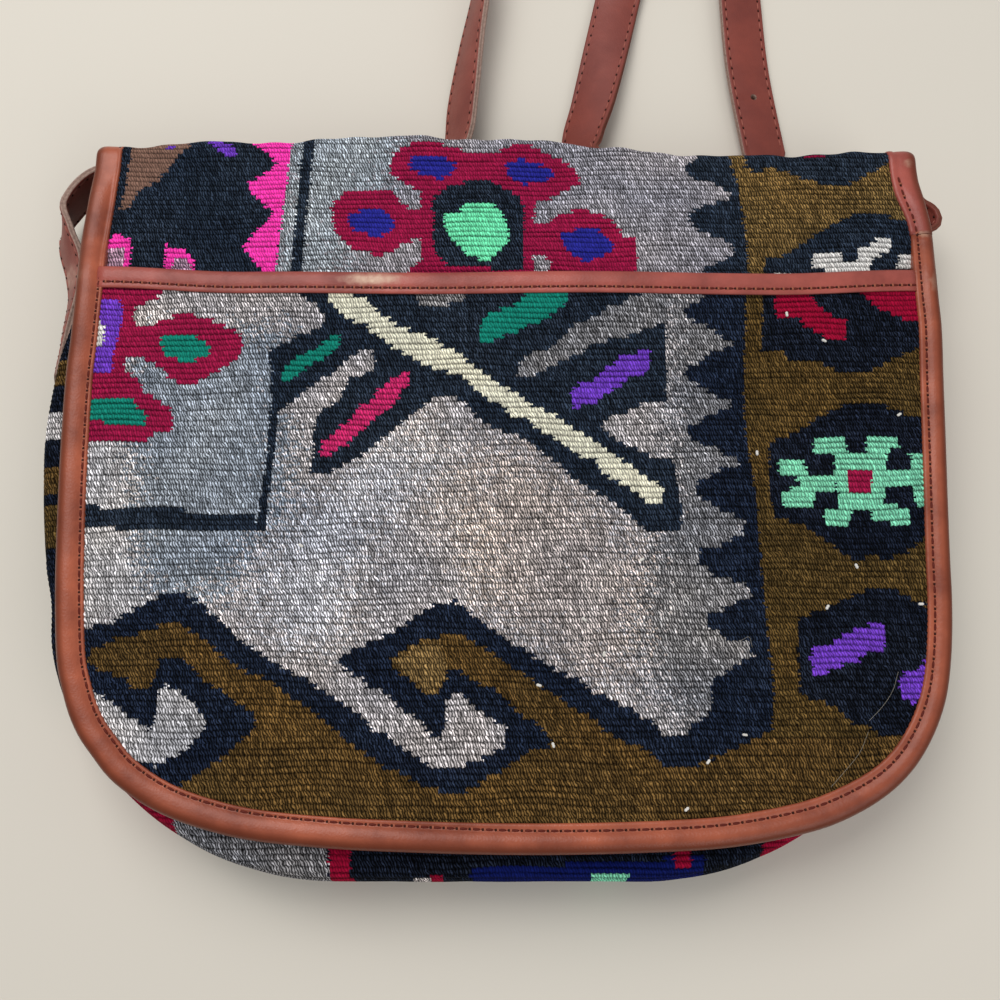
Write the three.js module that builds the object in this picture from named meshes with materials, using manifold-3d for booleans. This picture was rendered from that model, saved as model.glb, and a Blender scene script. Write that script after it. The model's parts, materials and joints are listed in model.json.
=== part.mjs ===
// A kilim messenger bag lying on its back, flap closed and carrying strap laid out behind it.
// Millimetres. +X across the bag, +Y from its bottom seam to its top, +Z up off the floor.
// The origin is on the underside of the back panel, in the middle of the bag.
import * as THREE from 'three';
import { mergeVertices } from 'three/addons/utils/BufferGeometryUtils.js';
import Module from 'manifold-3d';

const wasm = await Module();
wasm.setup();

// Cloth, leather and the gaps between layers
const clearance = 0.3;
const kilimThickness = 2.4;
const liningThickness = 0.8;
const liningEase = 1;
const leatherThickness = 1.4;
const ribPitch = 4.6;
const ribDepth = 0.45;

// Body: two panels and the gusset between them
const bodyWidth = 367;
const bodyLength = 303;
const bodyCentreX = -4;
const bodyTopY = 157;
const bodyDepth = 37;
const bodyCornerRadius = 124;
const crownHeight = 4;
const crownRun = 70;
const gussetBulge = 1.5;
const gussetShortfall = 9;
const mouthWidth = 45;
const dipRun = 22;
const topFoldRadius = 11;
const leanInRun = 52;

// Flap, hinged on the top edge of the body
const flapWidth = 355;
const flapCentreX = 1;
const flapLength = 293;
const flapCornerRadius = 98;
const liningHem = 6;
const bindingWidth = 10;
const bindingFold = 1.6;
const bindingFoldGap = 4.5;
const bindingJointDrop = 39;
const bindingStep = 18;

// Slip pocket on the flap, with a leather band over its mouth
const pocketMouthDrop = 60;
const bandWidth = 9;
const pocketLiftRun = 40;
const bindingStepRun = 8;

// Carrying strap: two layers of leather sewn together
const strapWidth = 22;
const strapThickness = 4.4;
const strapSeatHeight = 21;
const strapWallGap = 3.4;
const strapPointLength = 12;
const strapPointWidth = 7;
const strapHoleDiameter = 3.2;
const strapHoleSpacing = 63;
const strapFirstHole = 39;
const strapHoleCount = 3;

// Buckle and keeper at the end of the short strap
const buckleMetal = 3;
const buckleOpening = 19;
const prongWidth = 3;
const prongThickness = 1.5;
const slotLength = 16;
const keeperLength = 10;
const keeperThickness = 1.6;
const keeperRoom = 5.2;
const keeperSetback = 34;

// Worked-out places
const bodyBottomY = bodyTopY - bodyLength;
const flapBottomY = bodyTopY - flapLength;
const mouthY = bodyTopY - mouthWidth;
const gussetTopY = bodyTopY - gussetShortfall;
const pocketMouthY = bodyTopY - pocketMouthDrop;
const bandLowY = pocketMouthY - bandWidth;
const flapLeftX = flapCentreX - flapWidth / 2;
const flapRightX = flapCentreX + flapWidth / 2;
const bodyLeftX = bodyCentreX - bodyWidth / 2;
const bodyRightX = bodyCentreX + bodyWidth / 2;
const leaf = leatherThickness + clearance;
const bindingInset = leaf + bindingFold;
const { smoothstep, lerp } = THREE.MathUtils;

// Half-width of a sheet with straight sides and rounded lower corners
function roundedHalfWidth(y, halfWidth, radius, bottomY) {
  const drop = radius - Math.min(Math.max(y - bottomY, 0), radius);
  return halfWidth - radius + Math.sqrt(radius * radius - drop * drop);
}

// The body draws in near its mouth, until it is as wide as the flap
function leanIn(x, y) {
  const amount = smoothstep(y, bodyTopY - leanInRun, bodyTopY);
  const left = flapLeftX + bindingInset - bodyLeftX;
  const right = flapRightX - bindingInset - bodyRightX;
  return x + amount * lerp(left, right, (x - bodyLeftX) / bodyWidth);
}

function bodyX(u, y, inset) {
  const half = roundedHalfWidth(y, bodyWidth / 2 - inset, bodyCornerRadius - inset, bodyBottomY + inset);
  return leanIn(bodyCentreX + (2 * u - 1) * half, y);
}

function flapX(u, y, inset) {
  const half = roundedHalfWidth(y, flapWidth / 2 - inset, flapCornerRadius - inset, flapBottomY + inset);
  return flapCentreX + (2 * u - 1) * half;
}

// Heights of the layers above the floor, from the front panel up to the flap's pocket
function crown(x, y) {
  const half = roundedHalfWidth(y, bodyWidth / 2, bodyCornerRadius, bodyBottomY);
  const across = Math.min(Math.abs(x - bodyCentreX) / half, 1);
  const fromBottom = smoothstep(y, bodyBottomY, bodyBottomY + crownRun);
  const fromTop = 1 - smoothstep(y, bodyTopY - crownRun, bodyTopY);
  return crownHeight * (1 - across * across) * fromBottom * fromTop;
}

const frontRest = (x, y) => bodyDepth + crown(x, y);
const dipEndY = mouthY - bindingWidth;
const dipStartY = dipEndY - dipRun;
const mouthDip = (y) => leaf * smoothstep(y, dipStartY, dipEndY);
const frontTop = (x, y) => frontRest(x, y) - mouthDip(y);
const frontUnder = (x, y) => frontTop(x, y) - kilimThickness;
const flapUnder = (x, y) => frontRest(x, y) + leaf + clearance;
const flapKilimUnder = (x, y) => flapUnder(x, y) + liningThickness + clearance;
const flapKilimTop = (x, y) => flapKilimUnder(x, y) + kilimThickness;
const pocketLift = (y) => leaf * smoothstep(y, bandLowY - pocketLiftRun, bandLowY);
const pocketUnder = (x, y) => flapKilimTop(x, y) + clearance + pocketLift(y);
const pocketTop = (x, y) => pocketUnder(x, y) + kilimThickness;
const hingeZ = flapKilimUnder(flapCentreX, bodyTopY) + kilimThickness / 2;

// Top of whatever the edge binding wraps: pocket and flap below the pocket mouth, flap above it
function flapStackTop(x, y) {
  const step = smoothstep(y, pocketMouthY, pocketMouthY + bindingStepRun);
  return lerp(pocketTop(x, y), flapKilimTop(x, y), step);
}

// A box with segments, bent: place(u, v, side) gives each corner, with side -0.5 or 0.5
function bentSheet(columns, rows, place) {
  const sheet = new THREE.BoxGeometry(1, 1, 1, columns, rows, 1);
  const corners = sheet.getAttribute('position');
  for (let i = 0; i < corners.count; i += 1) {
    const point = place(corners.getX(i) + 0.5, corners.getY(i) + 0.5, corners.getZ(i));
    corners.setXYZ(i, point.x, point.y, point.z);
  }
  sheet.computeVertexNormals();
  return sheet;
}

// Rows up a sheet: close together round the lower corners, then evenly spaced
function cornerRows(bottomY, radius, topY, arcRows, straightRows) {
  const rows = [];
  for (let i = 0; i < arcRows; i += 1) {
    rows.push(bottomY + radius * (1 - Math.cos((i / arcRows) * Math.PI / 2)));
  }
  for (let i = 0; i <= straightRows; i += 1) {
    rows.push(lerp(bottomY + radius, topY, i / straightRows));
  }
  return rows;
}

// Rows that follow on from an earlier row, evenly spaced
function rowsTo(rows, topY, count) {
  const fromY = rows.at(-1);
  return rows.concat(Array.from({ length: count }, (_, i) => lerp(fromY, topY, (i + 1) / count)));
}

// Two rows to each rib of the weave: a crest and a furrow
const ribRowCount = (bottomY, topY) => 2 * Math.max(1, Math.round((topY - bottomY) / ribPitch));

// A cloth sheet between two height surfaces; rows from ribFrom upwards are ribbed on their top face
function clothSheet(columns, rows, xAt, under, thickness, ribFrom = rows.length) {
  const last = rows.length - 1;
  return bentSheet(columns, last, (u, v, side) => {
    const row = Math.round(v * last);
    const x = xAt(u, rows[row]);
    const furrow = row > ribFrom && row < last && (row - ribFrom) % 2 === 1 ? ribDepth : 0;
    const height = side > 0 ? thickness - furrow : 0;
    return new THREE.Vector3(x, rows[row], under(x, rows[row]) + height);
  });
}

// Leather folded over an edge: a lower leaf, a round fold and an upper leaf.
// at(along, inward, level, lift) places a point: level runs from -1 on the lower leaf to 1 on the upper.
function foldedLeather(stations, leafWidth, at) {
  const rows = 6;
  const leafEnd = 1 / rows;
  const last = stations.length - 1;
  return bentSheet(last, rows, (u, v, side) => {
    const along = stations[Math.round(u * last)];
    const fold = Math.min(Math.max((v - leafEnd) / (1 - 2 * leafEnd), 0), 1) * Math.PI;
    const alongLeaf = Math.max(leafEnd - v, v - 1 + leafEnd, 0) / leafEnd;
    const half = leatherThickness / 2;
    const middle = half + bindingFold * (1 - Math.sin(fold)) + alongLeaf * (leafWidth - half - bindingFold);
    const inward = middle - Math.sin(fold) * side * leatherThickness;
    return at(along, inward, -Math.cos(fold), -Math.cos(fold) * side * leatherThickness);
  });
}

// Shares of the way along an edge: even steps between marks, which are distances from its start
function stationsAlong(length, marks = []) {
  const stations = [0];
  const stops = marks.filter((mark) => mark > 0 && mark < length).sort((a, b) => a - b);
  for (const stop of [...stops, length]) {
    const from = stations.at(-1) * length;
    const steps = Math.max(3, Math.ceil((stop - from) / bindingStep));
    for (let i = 1; i <= steps; i += 1) {
      stations.push(lerp(from, stop, i / steps) / length);
    }
  }
  return stations;
}

// Places a folded leather strip on an edge in plan, its leaves under and over two height surfaces
function onEdge(edge, under, over) {
  return (along, inward, level, lift) => {
    const point = edge.getPointAt(along);
    const tangent = edge.getTangentAt(along);
    const x = point.x - tangent.y * inward;
    const y = point.y + tangent.x * inward;
    const low = under(x, y) - clearance - leatherThickness / 2;
    const high = over(x, y) + clearance + leatherThickness / 2;
    return new THREE.Vector3(x, y, lerp(low, high, (level + 1) / 2) + lift);
  };
}

// Boolean joins and cuts
function toSolid(geometry) {
  const bare = geometry.clone();
  bare.deleteAttribute('normal');
  bare.deleteAttribute('uv');
  const merged = mergeVertices(bare, 1e-4);
  return new wasm.Manifold(new wasm.Mesh({
    numProp: 3,
    vertProperties: new Float32Array(merged.getAttribute('position').array),
    triVerts: new Uint32Array(merged.index.array),
  }));
}

function toGeometry(solid) {
  const mesh = solid.getMesh();
  const geometry = new THREE.BufferGeometry();
  geometry.setAttribute('position', new THREE.BufferAttribute(mesh.vertProperties, 3));
  geometry.setIndex(new THREE.BufferAttribute(mesh.triVerts, 1));
  geometry.computeVertexNormals();
  return geometry;
}

function boxAt(sizeX, sizeY, sizeZ, x, y, z) {
  return new THREE.BoxGeometry(sizeX, sizeY, sizeZ).translate(x, y, z);
}

// Finishes
const kilimGround = { color: '#9a8d83', roughness: 0.95, metalness: 0 };
const kilimDark = { color: '#2b2a2b', roughness: 0.95, metalness: 0 };
const kilimOlive = { color: '#5a4420', roughness: 0.95, metalness: 0 };
const cotton = { color: '#7d6a52', roughness: 0.9, metalness: 0 };
const bindingLeather = { color: '#a4522d', roughness: 0.45, metalness: 0 };
const strapLeather = { color: '#8a463c', roughness: 0.5, metalness: 0 };
const brass = { color: '#b3924f', roughness: 0.35, metalness: 1 };

const bag = new THREE.Group();
function addPiece(name, geometry, finish) {
  const piece = new THREE.Mesh(geometry, new THREE.MeshStandardMaterial(finish));
  piece.name = name;
  bag.add(piece);
}

// Back panel: flat on the floor, folded up at the top to make the wall that carries the flap
const panelColumns = 4;
const wallTopZ = hingeZ - kilimThickness / 2 - clearance;
function backStations() {
  const half = kilimThickness / 2;
  const foldY = bodyTopY - topFoldRadius;
  const stations = cornerRows(bodyBottomY, bodyCornerRadius, foldY, 8, 6)
    .map((y) => ({ y, z: half, turn: 0 }));
  const foldRows = 5;
  for (let i = 1; i <= foldRows; i += 1) {
    const turn = (i / foldRows) * Math.PI / 2;
    const y = foldY + topFoldRadius * Math.sin(turn);
    stations.push({ y, z: half + topFoldRadius * (1 - Math.cos(turn)), turn });
  }
  const wallRows = 3;
  const wallFootZ = half + topFoldRadius;
  for (let i = 1; i <= wallRows; i += 1) {
    stations.push({ y: bodyTopY, z: lerp(wallFootZ, wallTopZ, i / wallRows), turn: Math.PI / 2 });
  }
  return stations;
}

const backRows = backStations();
addPiece('back_panel', bentSheet(panelColumns, backRows.length - 1, (u, v, side) => {
  const station = backRows[Math.round(v * (backRows.length - 1))];
  const offset = side * kilimThickness;
  const y = station.y - Math.sin(station.turn) * offset;
  return new THREE.Vector3(bodyX(u, station.y, 0), y, station.z + Math.cos(station.turn) * offset);
}), kilimDark);

// Front panel, from the bottom seam to the mouth
const frontPlainRows = cornerRows(bodyBottomY, bodyCornerRadius, dipStartY, 12, 8);
const frontRows = rowsTo(rowsTo(frontPlainRows, dipEndY, 5), mouthY - bindingInset, 2);
addPiece('front_panel', clothSheet(
  panelColumns, frontRows, (u, y) => bodyX(u, y, 0), frontUnder, kilimThickness,
), kilimDark);

// Gusset: one strip down the left side, along the bottom and up the right side
function roundedEdge(leftX, rightX, bottomY, radius, leftTopY, rightTopY) {
  const edge = new THREE.Path();
  edge.moveTo(leftX, leftTopY);
  edge.lineTo(leftX, bottomY + radius);
  edge.absarc(leftX + radius, bottomY + radius, radius, Math.PI, 1.5 * Math.PI, false);
  edge.lineTo(rightX - radius, bottomY);
  edge.absarc(rightX - radius, bottomY + radius, radius, 1.5 * Math.PI, 2 * Math.PI, false);
  edge.lineTo(rightX, rightTopY);
  return edge;
}

const gussetEdge = roundedEdge(bodyLeftX, bodyRightX, bodyBottomY, bodyCornerRadius, gussetTopY, gussetTopY);
addPiece('gusset', bentSheet(48, 3, (u, v, side) => {
  const point = gussetEdge.getPointAt(u);
  const tangent = gussetEdge.getTangentAt(u);
  const bulge = gussetBulge * (1 - (2 * v - 1) ** 2);
  const outward = bulge - kilimThickness / 2 + side * kilimThickness;
  const x = leanIn(point.x, point.y) + tangent.y * outward;
  const y = point.y - tangent.x * outward;
  const low = kilimThickness + clearance;
  const high = frontUnder(leanIn(point.x, point.y), point.y) - clearance;
  return new THREE.Vector3(x, y, lerp(low, high, v));
}), kilimOlive);

// Lining: a thin cotton pouch inside the body, open at the mouth
const liningInset = kilimThickness + liningEase;
const pouchFoldY = bodyTopY - topFoldRadius;
const pouchFoldReach = [0.5, 0.8, 0.98];
const pouchFoldRadius = topFoldRadius - kilimThickness / 2 - clearance - leaf;
function pouchFloor(y, shrink) {
  const past = Math.min(Math.max(y - pouchFoldY, 0), pouchFoldRadius - shrink);
  const radius = pouchFoldRadius - shrink;
  return kilimThickness + clearance + pouchFoldRadius - Math.sqrt(radius * radius - past * past);
}

function pouchBlock(shrink) {
  const inset = liningInset + shrink;
  const bottomY = bodyBottomY + inset;
  const rows = [bottomY, ...rowsTo(frontRows, pouchFoldY, 4).filter((y) => y > bottomY + clearance)];
  for (const reach of pouchFoldReach) {
    rows.push(pouchFoldY + (pouchFoldRadius - shrink) * reach);
  }
  const last = rows.length - 1;
  return toSolid(bentSheet(panelColumns, last, (u, v, side) => {
    const y = rows[Math.round(v * last)];
    const x = bodyX(u, y, inset);
    const top = frontUnder(x, y) - clearance - shrink;
    return new THREE.Vector3(x, y, side > 0 ? top : pouchFloor(y, shrink));
  }));
}

function liningPouch() {
  const mouthLow = mouthY - bindingInset;
  const mouthHigh = pouchFoldY + (pouchFoldRadius - liningThickness) * 0.9;
  const sideRoom = 2 * (bindingInset + liningInset + liningThickness + bindingFold);
  const cut = boxAt(flapWidth - sideRoom, mouthHigh - mouthLow, bodyDepth,
    flapCentreX, (mouthLow + mouthHigh) / 2, bodyDepth);
  return toGeometry(pouchBlock(0).subtract(pouchBlock(liningThickness)).subtract(toSolid(cut)));
}

addPiece('lining', liningPouch(), cotton);

// Leather binding over the top edge of the front panel and its lining
const mouthEdge = new THREE.LineCurve(
  new THREE.Vector2(flapRightX - bindingInset - liningInset - leaf - bindingFold, mouthY),
  new THREE.Vector2(flapLeftX + bindingInset + liningInset + leaf + bindingFold, mouthY),
);
const liningUnder = (x, y) => frontUnder(x, y) - clearance - liningThickness;
addPiece('mouth_binding', foldedLeather(
  stationsAlong(mouthEdge.getLength()), bindingWidth, onEdge(mouthEdge, liningUnder, frontTop),
), bindingLeather);

// Leather binding on the two upright edges of the top wall
const wallBindingLowZ = kilimThickness + topFoldRadius;
const wallBindingHighZ = hingeZ - bindingFoldGap;
function wallBinding(edgeX, side) {
  const reach = kilimThickness / 2 + clearance + leatherThickness / 2;
  const stations = stationsAlong(wallBindingHighZ - wallBindingLowZ);
  return foldedLeather(stations, bindingWidth, (along, inward, level, lift) => {
    const rise = side > 0 ? along : 1 - along;
    const y = bodyTopY + level * reach + lift;
    return new THREE.Vector3(edgeX + side * inward, y, lerp(wallBindingLowZ, wallBindingHighZ, rise));
  });
}

addPiece('wall_binding_left', wallBinding(flapLeftX, 1), bindingLeather);
addPiece('wall_binding_right', wallBinding(flapRightX, -1), bindingLeather);

// Flap: kilim, with a cotton lining under it
const flapColumns = 4;
const flapEdgeX = (u, y) => flapX(u, y, bindingInset);
const flapSheetBottomY = flapBottomY + bindingInset;
const flapSheetRadius = flapCornerRadius - bindingInset;
const flapRibsY = pocketMouthY - bandWidth;
const flapPlainRows = cornerRows(flapSheetBottomY, flapSheetRadius, flapRibsY, 12, 12);
const flapRows = rowsTo(flapPlainRows, bodyTopY, ribRowCount(flapRibsY, bodyTopY));
addPiece('flap_kilim', clothSheet(
  flapColumns, flapRows, flapEdgeX, flapKilimUnder, kilimThickness, flapPlainRows.length - 1,
), kilimGround);

const flapLiningRows = rowsTo(flapPlainRows, bodyTopY - liningHem, 6);
addPiece('flap_lining', clothSheet(
  flapColumns, flapLiningRows, flapEdgeX, flapUnder, liningThickness,
), cotton);

// Pocket panel over the lower part of the flap, ribbed all the way
const pocketTopY = pocketMouthY - bindingInset;
const pocketRows = rowsTo([flapSheetBottomY], pocketTopY, ribRowCount(flapSheetBottomY, pocketTopY));
addPiece('flap_pocket_panel', clothSheet(
  flapColumns, pocketRows, flapEdgeX, pocketUnder, kilimThickness, 0,
), kilimGround);

// Leather band folded over the pocket's mouth, between the two side bindings
const bandEndInset = bindingWidth + clearance;
const bandEdge = new THREE.LineCurve(
  new THREE.Vector2(flapRightX - bandEndInset, pocketMouthY),
  new THREE.Vector2(flapLeftX + bandEndInset, pocketMouthY),
);
addPiece('pocket_mouth_binding', foldedLeather(
  stationsAlong(bandEdge.getLength()), bandWidth, onEdge(bandEdge, pocketUnder, pocketTop),
), bindingLeather);

// Edge binding round the flap; a short length closes it at the upper right
const bindingTopY = bodyTopY - bindingFoldGap;
const bindingJointY = bodyTopY - bindingJointDrop;
const flapEdge = roundedEdge(
  flapLeftX, flapRightX, flapBottomY, flapCornerRadius, bindingTopY, bindingJointY,
);
const flapEdgeLength = flapEdge.getLength();
const bindingStepsY = [pocketMouthY + bindingStepRun, pocketMouthY, bandLowY, bandLowY - pocketLiftRun];
const flapEdgeMarks = bindingStepsY.flatMap(
  (y) => [bindingTopY - y, flapEdgeLength - bindingJointY + y],
);
addPiece('flap_edge_binding', foldedLeather(
  stationsAlong(flapEdgeLength, flapEdgeMarks), bindingWidth, onEdge(flapEdge, flapUnder, flapStackTop),
), bindingLeather);

const jointEdge = new THREE.LineCurve(
  new THREE.Vector2(flapRightX, bindingJointY + clearance),
  new THREE.Vector2(flapRightX, bindingTopY),
);
const jointMarks = bindingStepsY.map((y) => y - bindingJointY - clearance);
addPiece('flap_binding_joint', foldedLeather(
  stationsAlong(jointEdge.getLength(), jointMarks), bindingWidth, onEdge(jointEdge, flapUnder, flapStackTop),
), bindingLeather);

// Straps. A course is a list of [x, y, lift, lean]: lift is the height of the strap's lowest edge,
// lean is 0 where it lies flat and 90 where it stands on edge, its right-hand edge uppermost.
function strapCourse(stops) {
  const route = new THREE.CatmullRomCurve3(stops.map(([x, y]) => new THREE.Vector3(x, y, 0)));
  const pose = new THREE.CatmullRomCurve3(stops.map(([, , lift, lean]) => new THREE.Vector3(lift, lean, 0)));
  return (t) => {
    const centre = route.getPoint(t);
    const ahead = route.getTangent(t);
    const stance = pose.getPoint(t);
    const lean = THREE.MathUtils.degToRad(stance.y);
    const across = new THREE.Vector3(ahead.y * Math.cos(lean), -ahead.x * Math.cos(lean), Math.sin(lean));
    const rise = (Math.abs(Math.sin(lean)) * strapWidth + Math.cos(lean) * strapThickness) / 2;
    centre.z = stance.x + rise;
    return { centre, across, face: ahead.clone().cross(across) };
  };
}

function strapSolid(course, steps, widthAt) {
  return bentSheet(steps, 1, (u, v, side) => {
    const { centre, across, face } = course(u);
    centre.addScaledVector(across, (v - 0.5) * widthAt(u));
    return centre.addScaledVector(face, side * strapThickness);
  });
}

const strapSeatLift = strapSeatHeight - strapWidth / 2;
const gussetFace = gussetBulge + clearance + strapThickness / 2;
const wallRunY = bodyTopY + kilimThickness / 2 + strapWallGap + strapThickness / 2;

// Long strap: sewn to the left gusset, round the corner on edge, behind the wall, out over the
// floor, round in an arch and back to the bag
const leftSeatX = bodyLeftX - gussetFace;
const longStops = [
  [leftSeatX, wallRunY - 105, strapSeatLift, 90],
  [leftSeatX, wallRunY - 82, strapSeatLift, 90],
  [leftSeatX - 0.4, wallRunY - 62, strapSeatLift, 90],
  [leftSeatX - 1.6, wallRunY - 52, strapSeatLift, 90],
  [leftSeatX - 4.5, wallRunY - 36, strapSeatLift - 1, 90],
  [leftSeatX - 6, wallRunY - 18, strapSeatLift - 4, 90],
  [leftSeatX + 5, wallRunY - 3, strapSeatLift - 8, 90],
  [leftSeatX + 26, wallRunY, 0.4, 90],
  [leftSeatX + 88, wallRunY, 0.2, 90],
  [-56, wallRunY, 0.2, 90],
  [-36, wallRunY + 2, 0.2, 84],
  [-22, wallRunY + 15, 0.2, 58],
  [-18, wallRunY + 40, 0.2, 50],
  [-14, wallRunY + 72, 0.2, 58],
  [-9, wallRunY + 104, 0.2, 67],
  [-6, wallRunY + 138, 0.2, 85],
  [5, wallRunY + 177, 0.2, 90],
  [28, wallRunY + 199, 0.2, 90],
  [57, wallRunY + 206, 0.2, 90],
  [86, wallRunY + 199, 0.2, 90],
  [110, wallRunY + 177, 0.2, 80],
  [120, wallRunY + 140, 0.2, 48],
  [121, wallRunY + 104, 0.2, 27],
  [123, wallRunY + 62, 0.2, 20],
  [127.5, wallRunY + 24, 0.2, 17],
  [129.5, wallRunY + 8, 0.2, 16],
];
const longCourse = strapCourse(longStops);
const courseSamples = 600;

// Distance still to run from course position t to the strap's tip
function courseLength(course, from) {
  let length = 0;
  let last = course(from).centre;
  for (let i = 1; i <= courseSamples; i += 1) {
    const next = course(lerp(from, 1, i / courseSamples)).centre;
    length += next.distanceTo(last);
    last = next;
  }
  return length;
}

// Course position at a distance back from the strap's tip
function backFromTip(course, distance) {
  let low = 0;
  let high = 1;
  for (let i = 0; i < 30; i += 1) {
    const middle = (low + high) / 2;
    if (courseLength(course, middle) > distance) low = middle;
    else high = middle;
  }
  return low;
}

function longStrap() {
  const pointFrom = backFromTip(longCourse, strapPointLength);
  const widthAt = (u) => lerp(strapWidth, strapPointWidth, Math.max(u - pointFrom, 0) / (1 - pointFrom));
  let strap = toSolid(strapSolid(longCourse, 112, widthAt));
  for (let i = 0; i < strapHoleCount; i += 1) {
    const { centre, face } = longCourse(backFromTip(longCourse, strapFirstHole + i * strapHoleSpacing));
    const hole = new THREE.CylinderGeometry(strapHoleDiameter / 2, strapHoleDiameter / 2, 3 * strapThickness, 10);
    hole.applyQuaternion(new THREE.Quaternion().setFromUnitVectors(new THREE.Vector3(0, 1, 0), face));
    hole.translate(centre.x, centre.y, centre.z);
    strap = strap.subtract(toSolid(hole));
  }
  return toGeometry(strap);
}

addPiece('long_strap', longStrap(), strapLeather);

// Buckle: the short strap ends in an eye round the frame's bar, with a slot for the prong
const layer = strapThickness / 2;
const barRadius = Math.hypot(buckleMetal, buckleMetal) / 2;
const eyeInner = barRadius + clearance;
const eyeOuter = eyeInner + layer;
const buckleLift = Math.max(eyeOuter - strapThickness / 2, keeperThickness + 2 * clearance);
const barZ = buckleLift + strapThickness / 2;
const barX = 63;
const barY = wallRunY + 164;
const rightSeatX = bodyRightX + gussetFace;

// Short strap: sewn to the right gusset, round the corner on edge, behind the wall and out to its buckle
const shortStops = [
  [rightSeatX, wallRunY - 105, strapSeatLift, 90],
  [rightSeatX, wallRunY - 82, strapSeatLift, 90],
  [rightSeatX + 0.5, wallRunY - 62, strapSeatLift, 90],
  [rightSeatX + 2.2, wallRunY - 52, strapSeatLift, 90],
  [rightSeatX + 7, wallRunY - 38, strapSeatLift - 1, 90],
  [rightSeatX + 9, wallRunY - 22, strapSeatLift - 4, 90],
  [rightSeatX + 3, wallRunY - 6, strapSeatLift - 8, 90],
  [rightSeatX - 8, wallRunY, 0.6, 90],
  [rightSeatX - 24, wallRunY, 0.3, 90],
  [rightSeatX - 70, wallRunY, 0.2, 90],
  [74, wallRunY, 0.2, 90],
  [53, wallRunY + 3, 0.2, 80],
  [41, wallRunY + 17, 0.2, 50],
  [43, wallRunY + 42, 0.2, 30],
  [50, wallRunY + 74, 0.2, 12],
  [58, wallRunY + 100, 0.2, 3],
  [barX - 1, wallRunY + 115, buckleLift - 0.6, 0],
  [barX, barY - keeperSetback - 6, buckleLift, 0],
  [barX, barY - keeperSetback + keeperLength, buckleLift, 0],
  [barX, barY - eyeOuter, buckleLift, 0],
];
const shortCourse = strapCourse(shortStops);

function shortStrap() {
  const eye = new THREE.Shape();
  eye.absarc(0, 0, eyeOuter, -Math.PI / 2, Math.PI / 2, false);
  eye.lineTo(-2 * eyeOuter, strapThickness / 2);
  eye.lineTo(-2 * eyeOuter, -strapThickness / 2);
  eye.closePath();
  const bore = new THREE.Path();
  bore.absarc(0, 0, eyeInner, 0, 2 * Math.PI, true);
  eye.holes.push(bore);
  const loop = new THREE.ExtrudeGeometry(eye, { depth: strapWidth, bevelEnabled: false, curveSegments: 10 });
  loop.rotateX(Math.PI / 2).rotateZ(Math.PI / 2);
  loop.translate(barX - strapWidth / 2, barY, barZ);
  const slot = boxAt(prongWidth + 4 * clearance, slotLength, 4 * eyeOuter,
    barX, barY + eyeOuter + clearance - slotLength / 2, barZ);
  const strap = toSolid(strapSolid(shortCourse, 76, () => strapWidth));
  return toGeometry(strap.add(toSolid(loop)).subtract(toSolid(slot)));
}

addPiece('short_strap', shortStrap(), strapLeather);

const frameInnerWidth = strapWidth + 2 * clearance + 2;
function buckleFrame() {
  const half = frameInnerWidth / 2;
  const outline = new THREE.Shape();
  const outer = half + buckleMetal;
  outline.moveTo(-outer, -buckleMetal / 2);
  outline.lineTo(outer, -buckleMetal / 2);
  outline.lineTo(outer, buckleOpening);
  outline.absarc(outer - buckleMetal, buckleOpening + buckleMetal / 2, buckleMetal, 0, Math.PI / 2, false);
  outline.absarc(buckleMetal - outer, buckleOpening + buckleMetal / 2, buckleMetal, Math.PI / 2, Math.PI, false);
  outline.closePath();
  const opening = new THREE.Path();
  opening.moveTo(-half, buckleMetal / 2);
  opening.lineTo(-half, buckleOpening + buckleMetal / 2);
  opening.lineTo(half, buckleOpening + buckleMetal / 2);
  opening.lineTo(half, buckleMetal / 2);
  opening.closePath();
  outline.holes.push(opening);
  const frame = new THREE.ExtrudeGeometry(outline, { depth: buckleMetal, bevelEnabled: false, curveSegments: 6 });
  return frame.translate(barX, barY, barZ - buckleMetal / 2);
}

addPiece('buckle_frame', buckleFrame(), brass);

// Prong: an eye on the bar and a tongue that rests on the far side of the frame
function buckleProng() {
  const tongueZ = buckleMetal / 2 + clearance;
  const tongueReach = buckleOpening + 1.5 * buckleMetal + clearance;
  const ring = eyeInner + prongThickness;
  const profile = new THREE.Shape();
  const meets = Math.asin(tongueZ / ring);
  profile.absarc(0, 0, ring, Math.asin((tongueZ + prongThickness) / ring), 2 * Math.PI + meets, false);
  profile.lineTo(tongueReach, tongueZ);
  profile.lineTo(tongueReach, tongueZ + prongThickness);
  profile.closePath();
  const bore = new THREE.Path();
  bore.absarc(0, 0, eyeInner, 0, 2 * Math.PI, true);
  profile.holes.push(bore);
  const prong = new THREE.ExtrudeGeometry(profile, { depth: prongWidth, bevelEnabled: false, curveSegments: 10 });
  prong.rotateX(Math.PI / 2).rotateZ(Math.PI / 2);
  return prong.translate(barX - prongWidth / 2, barY, barZ);
}

addPiece('buckle_prong', buckleProng(), brass);

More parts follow.
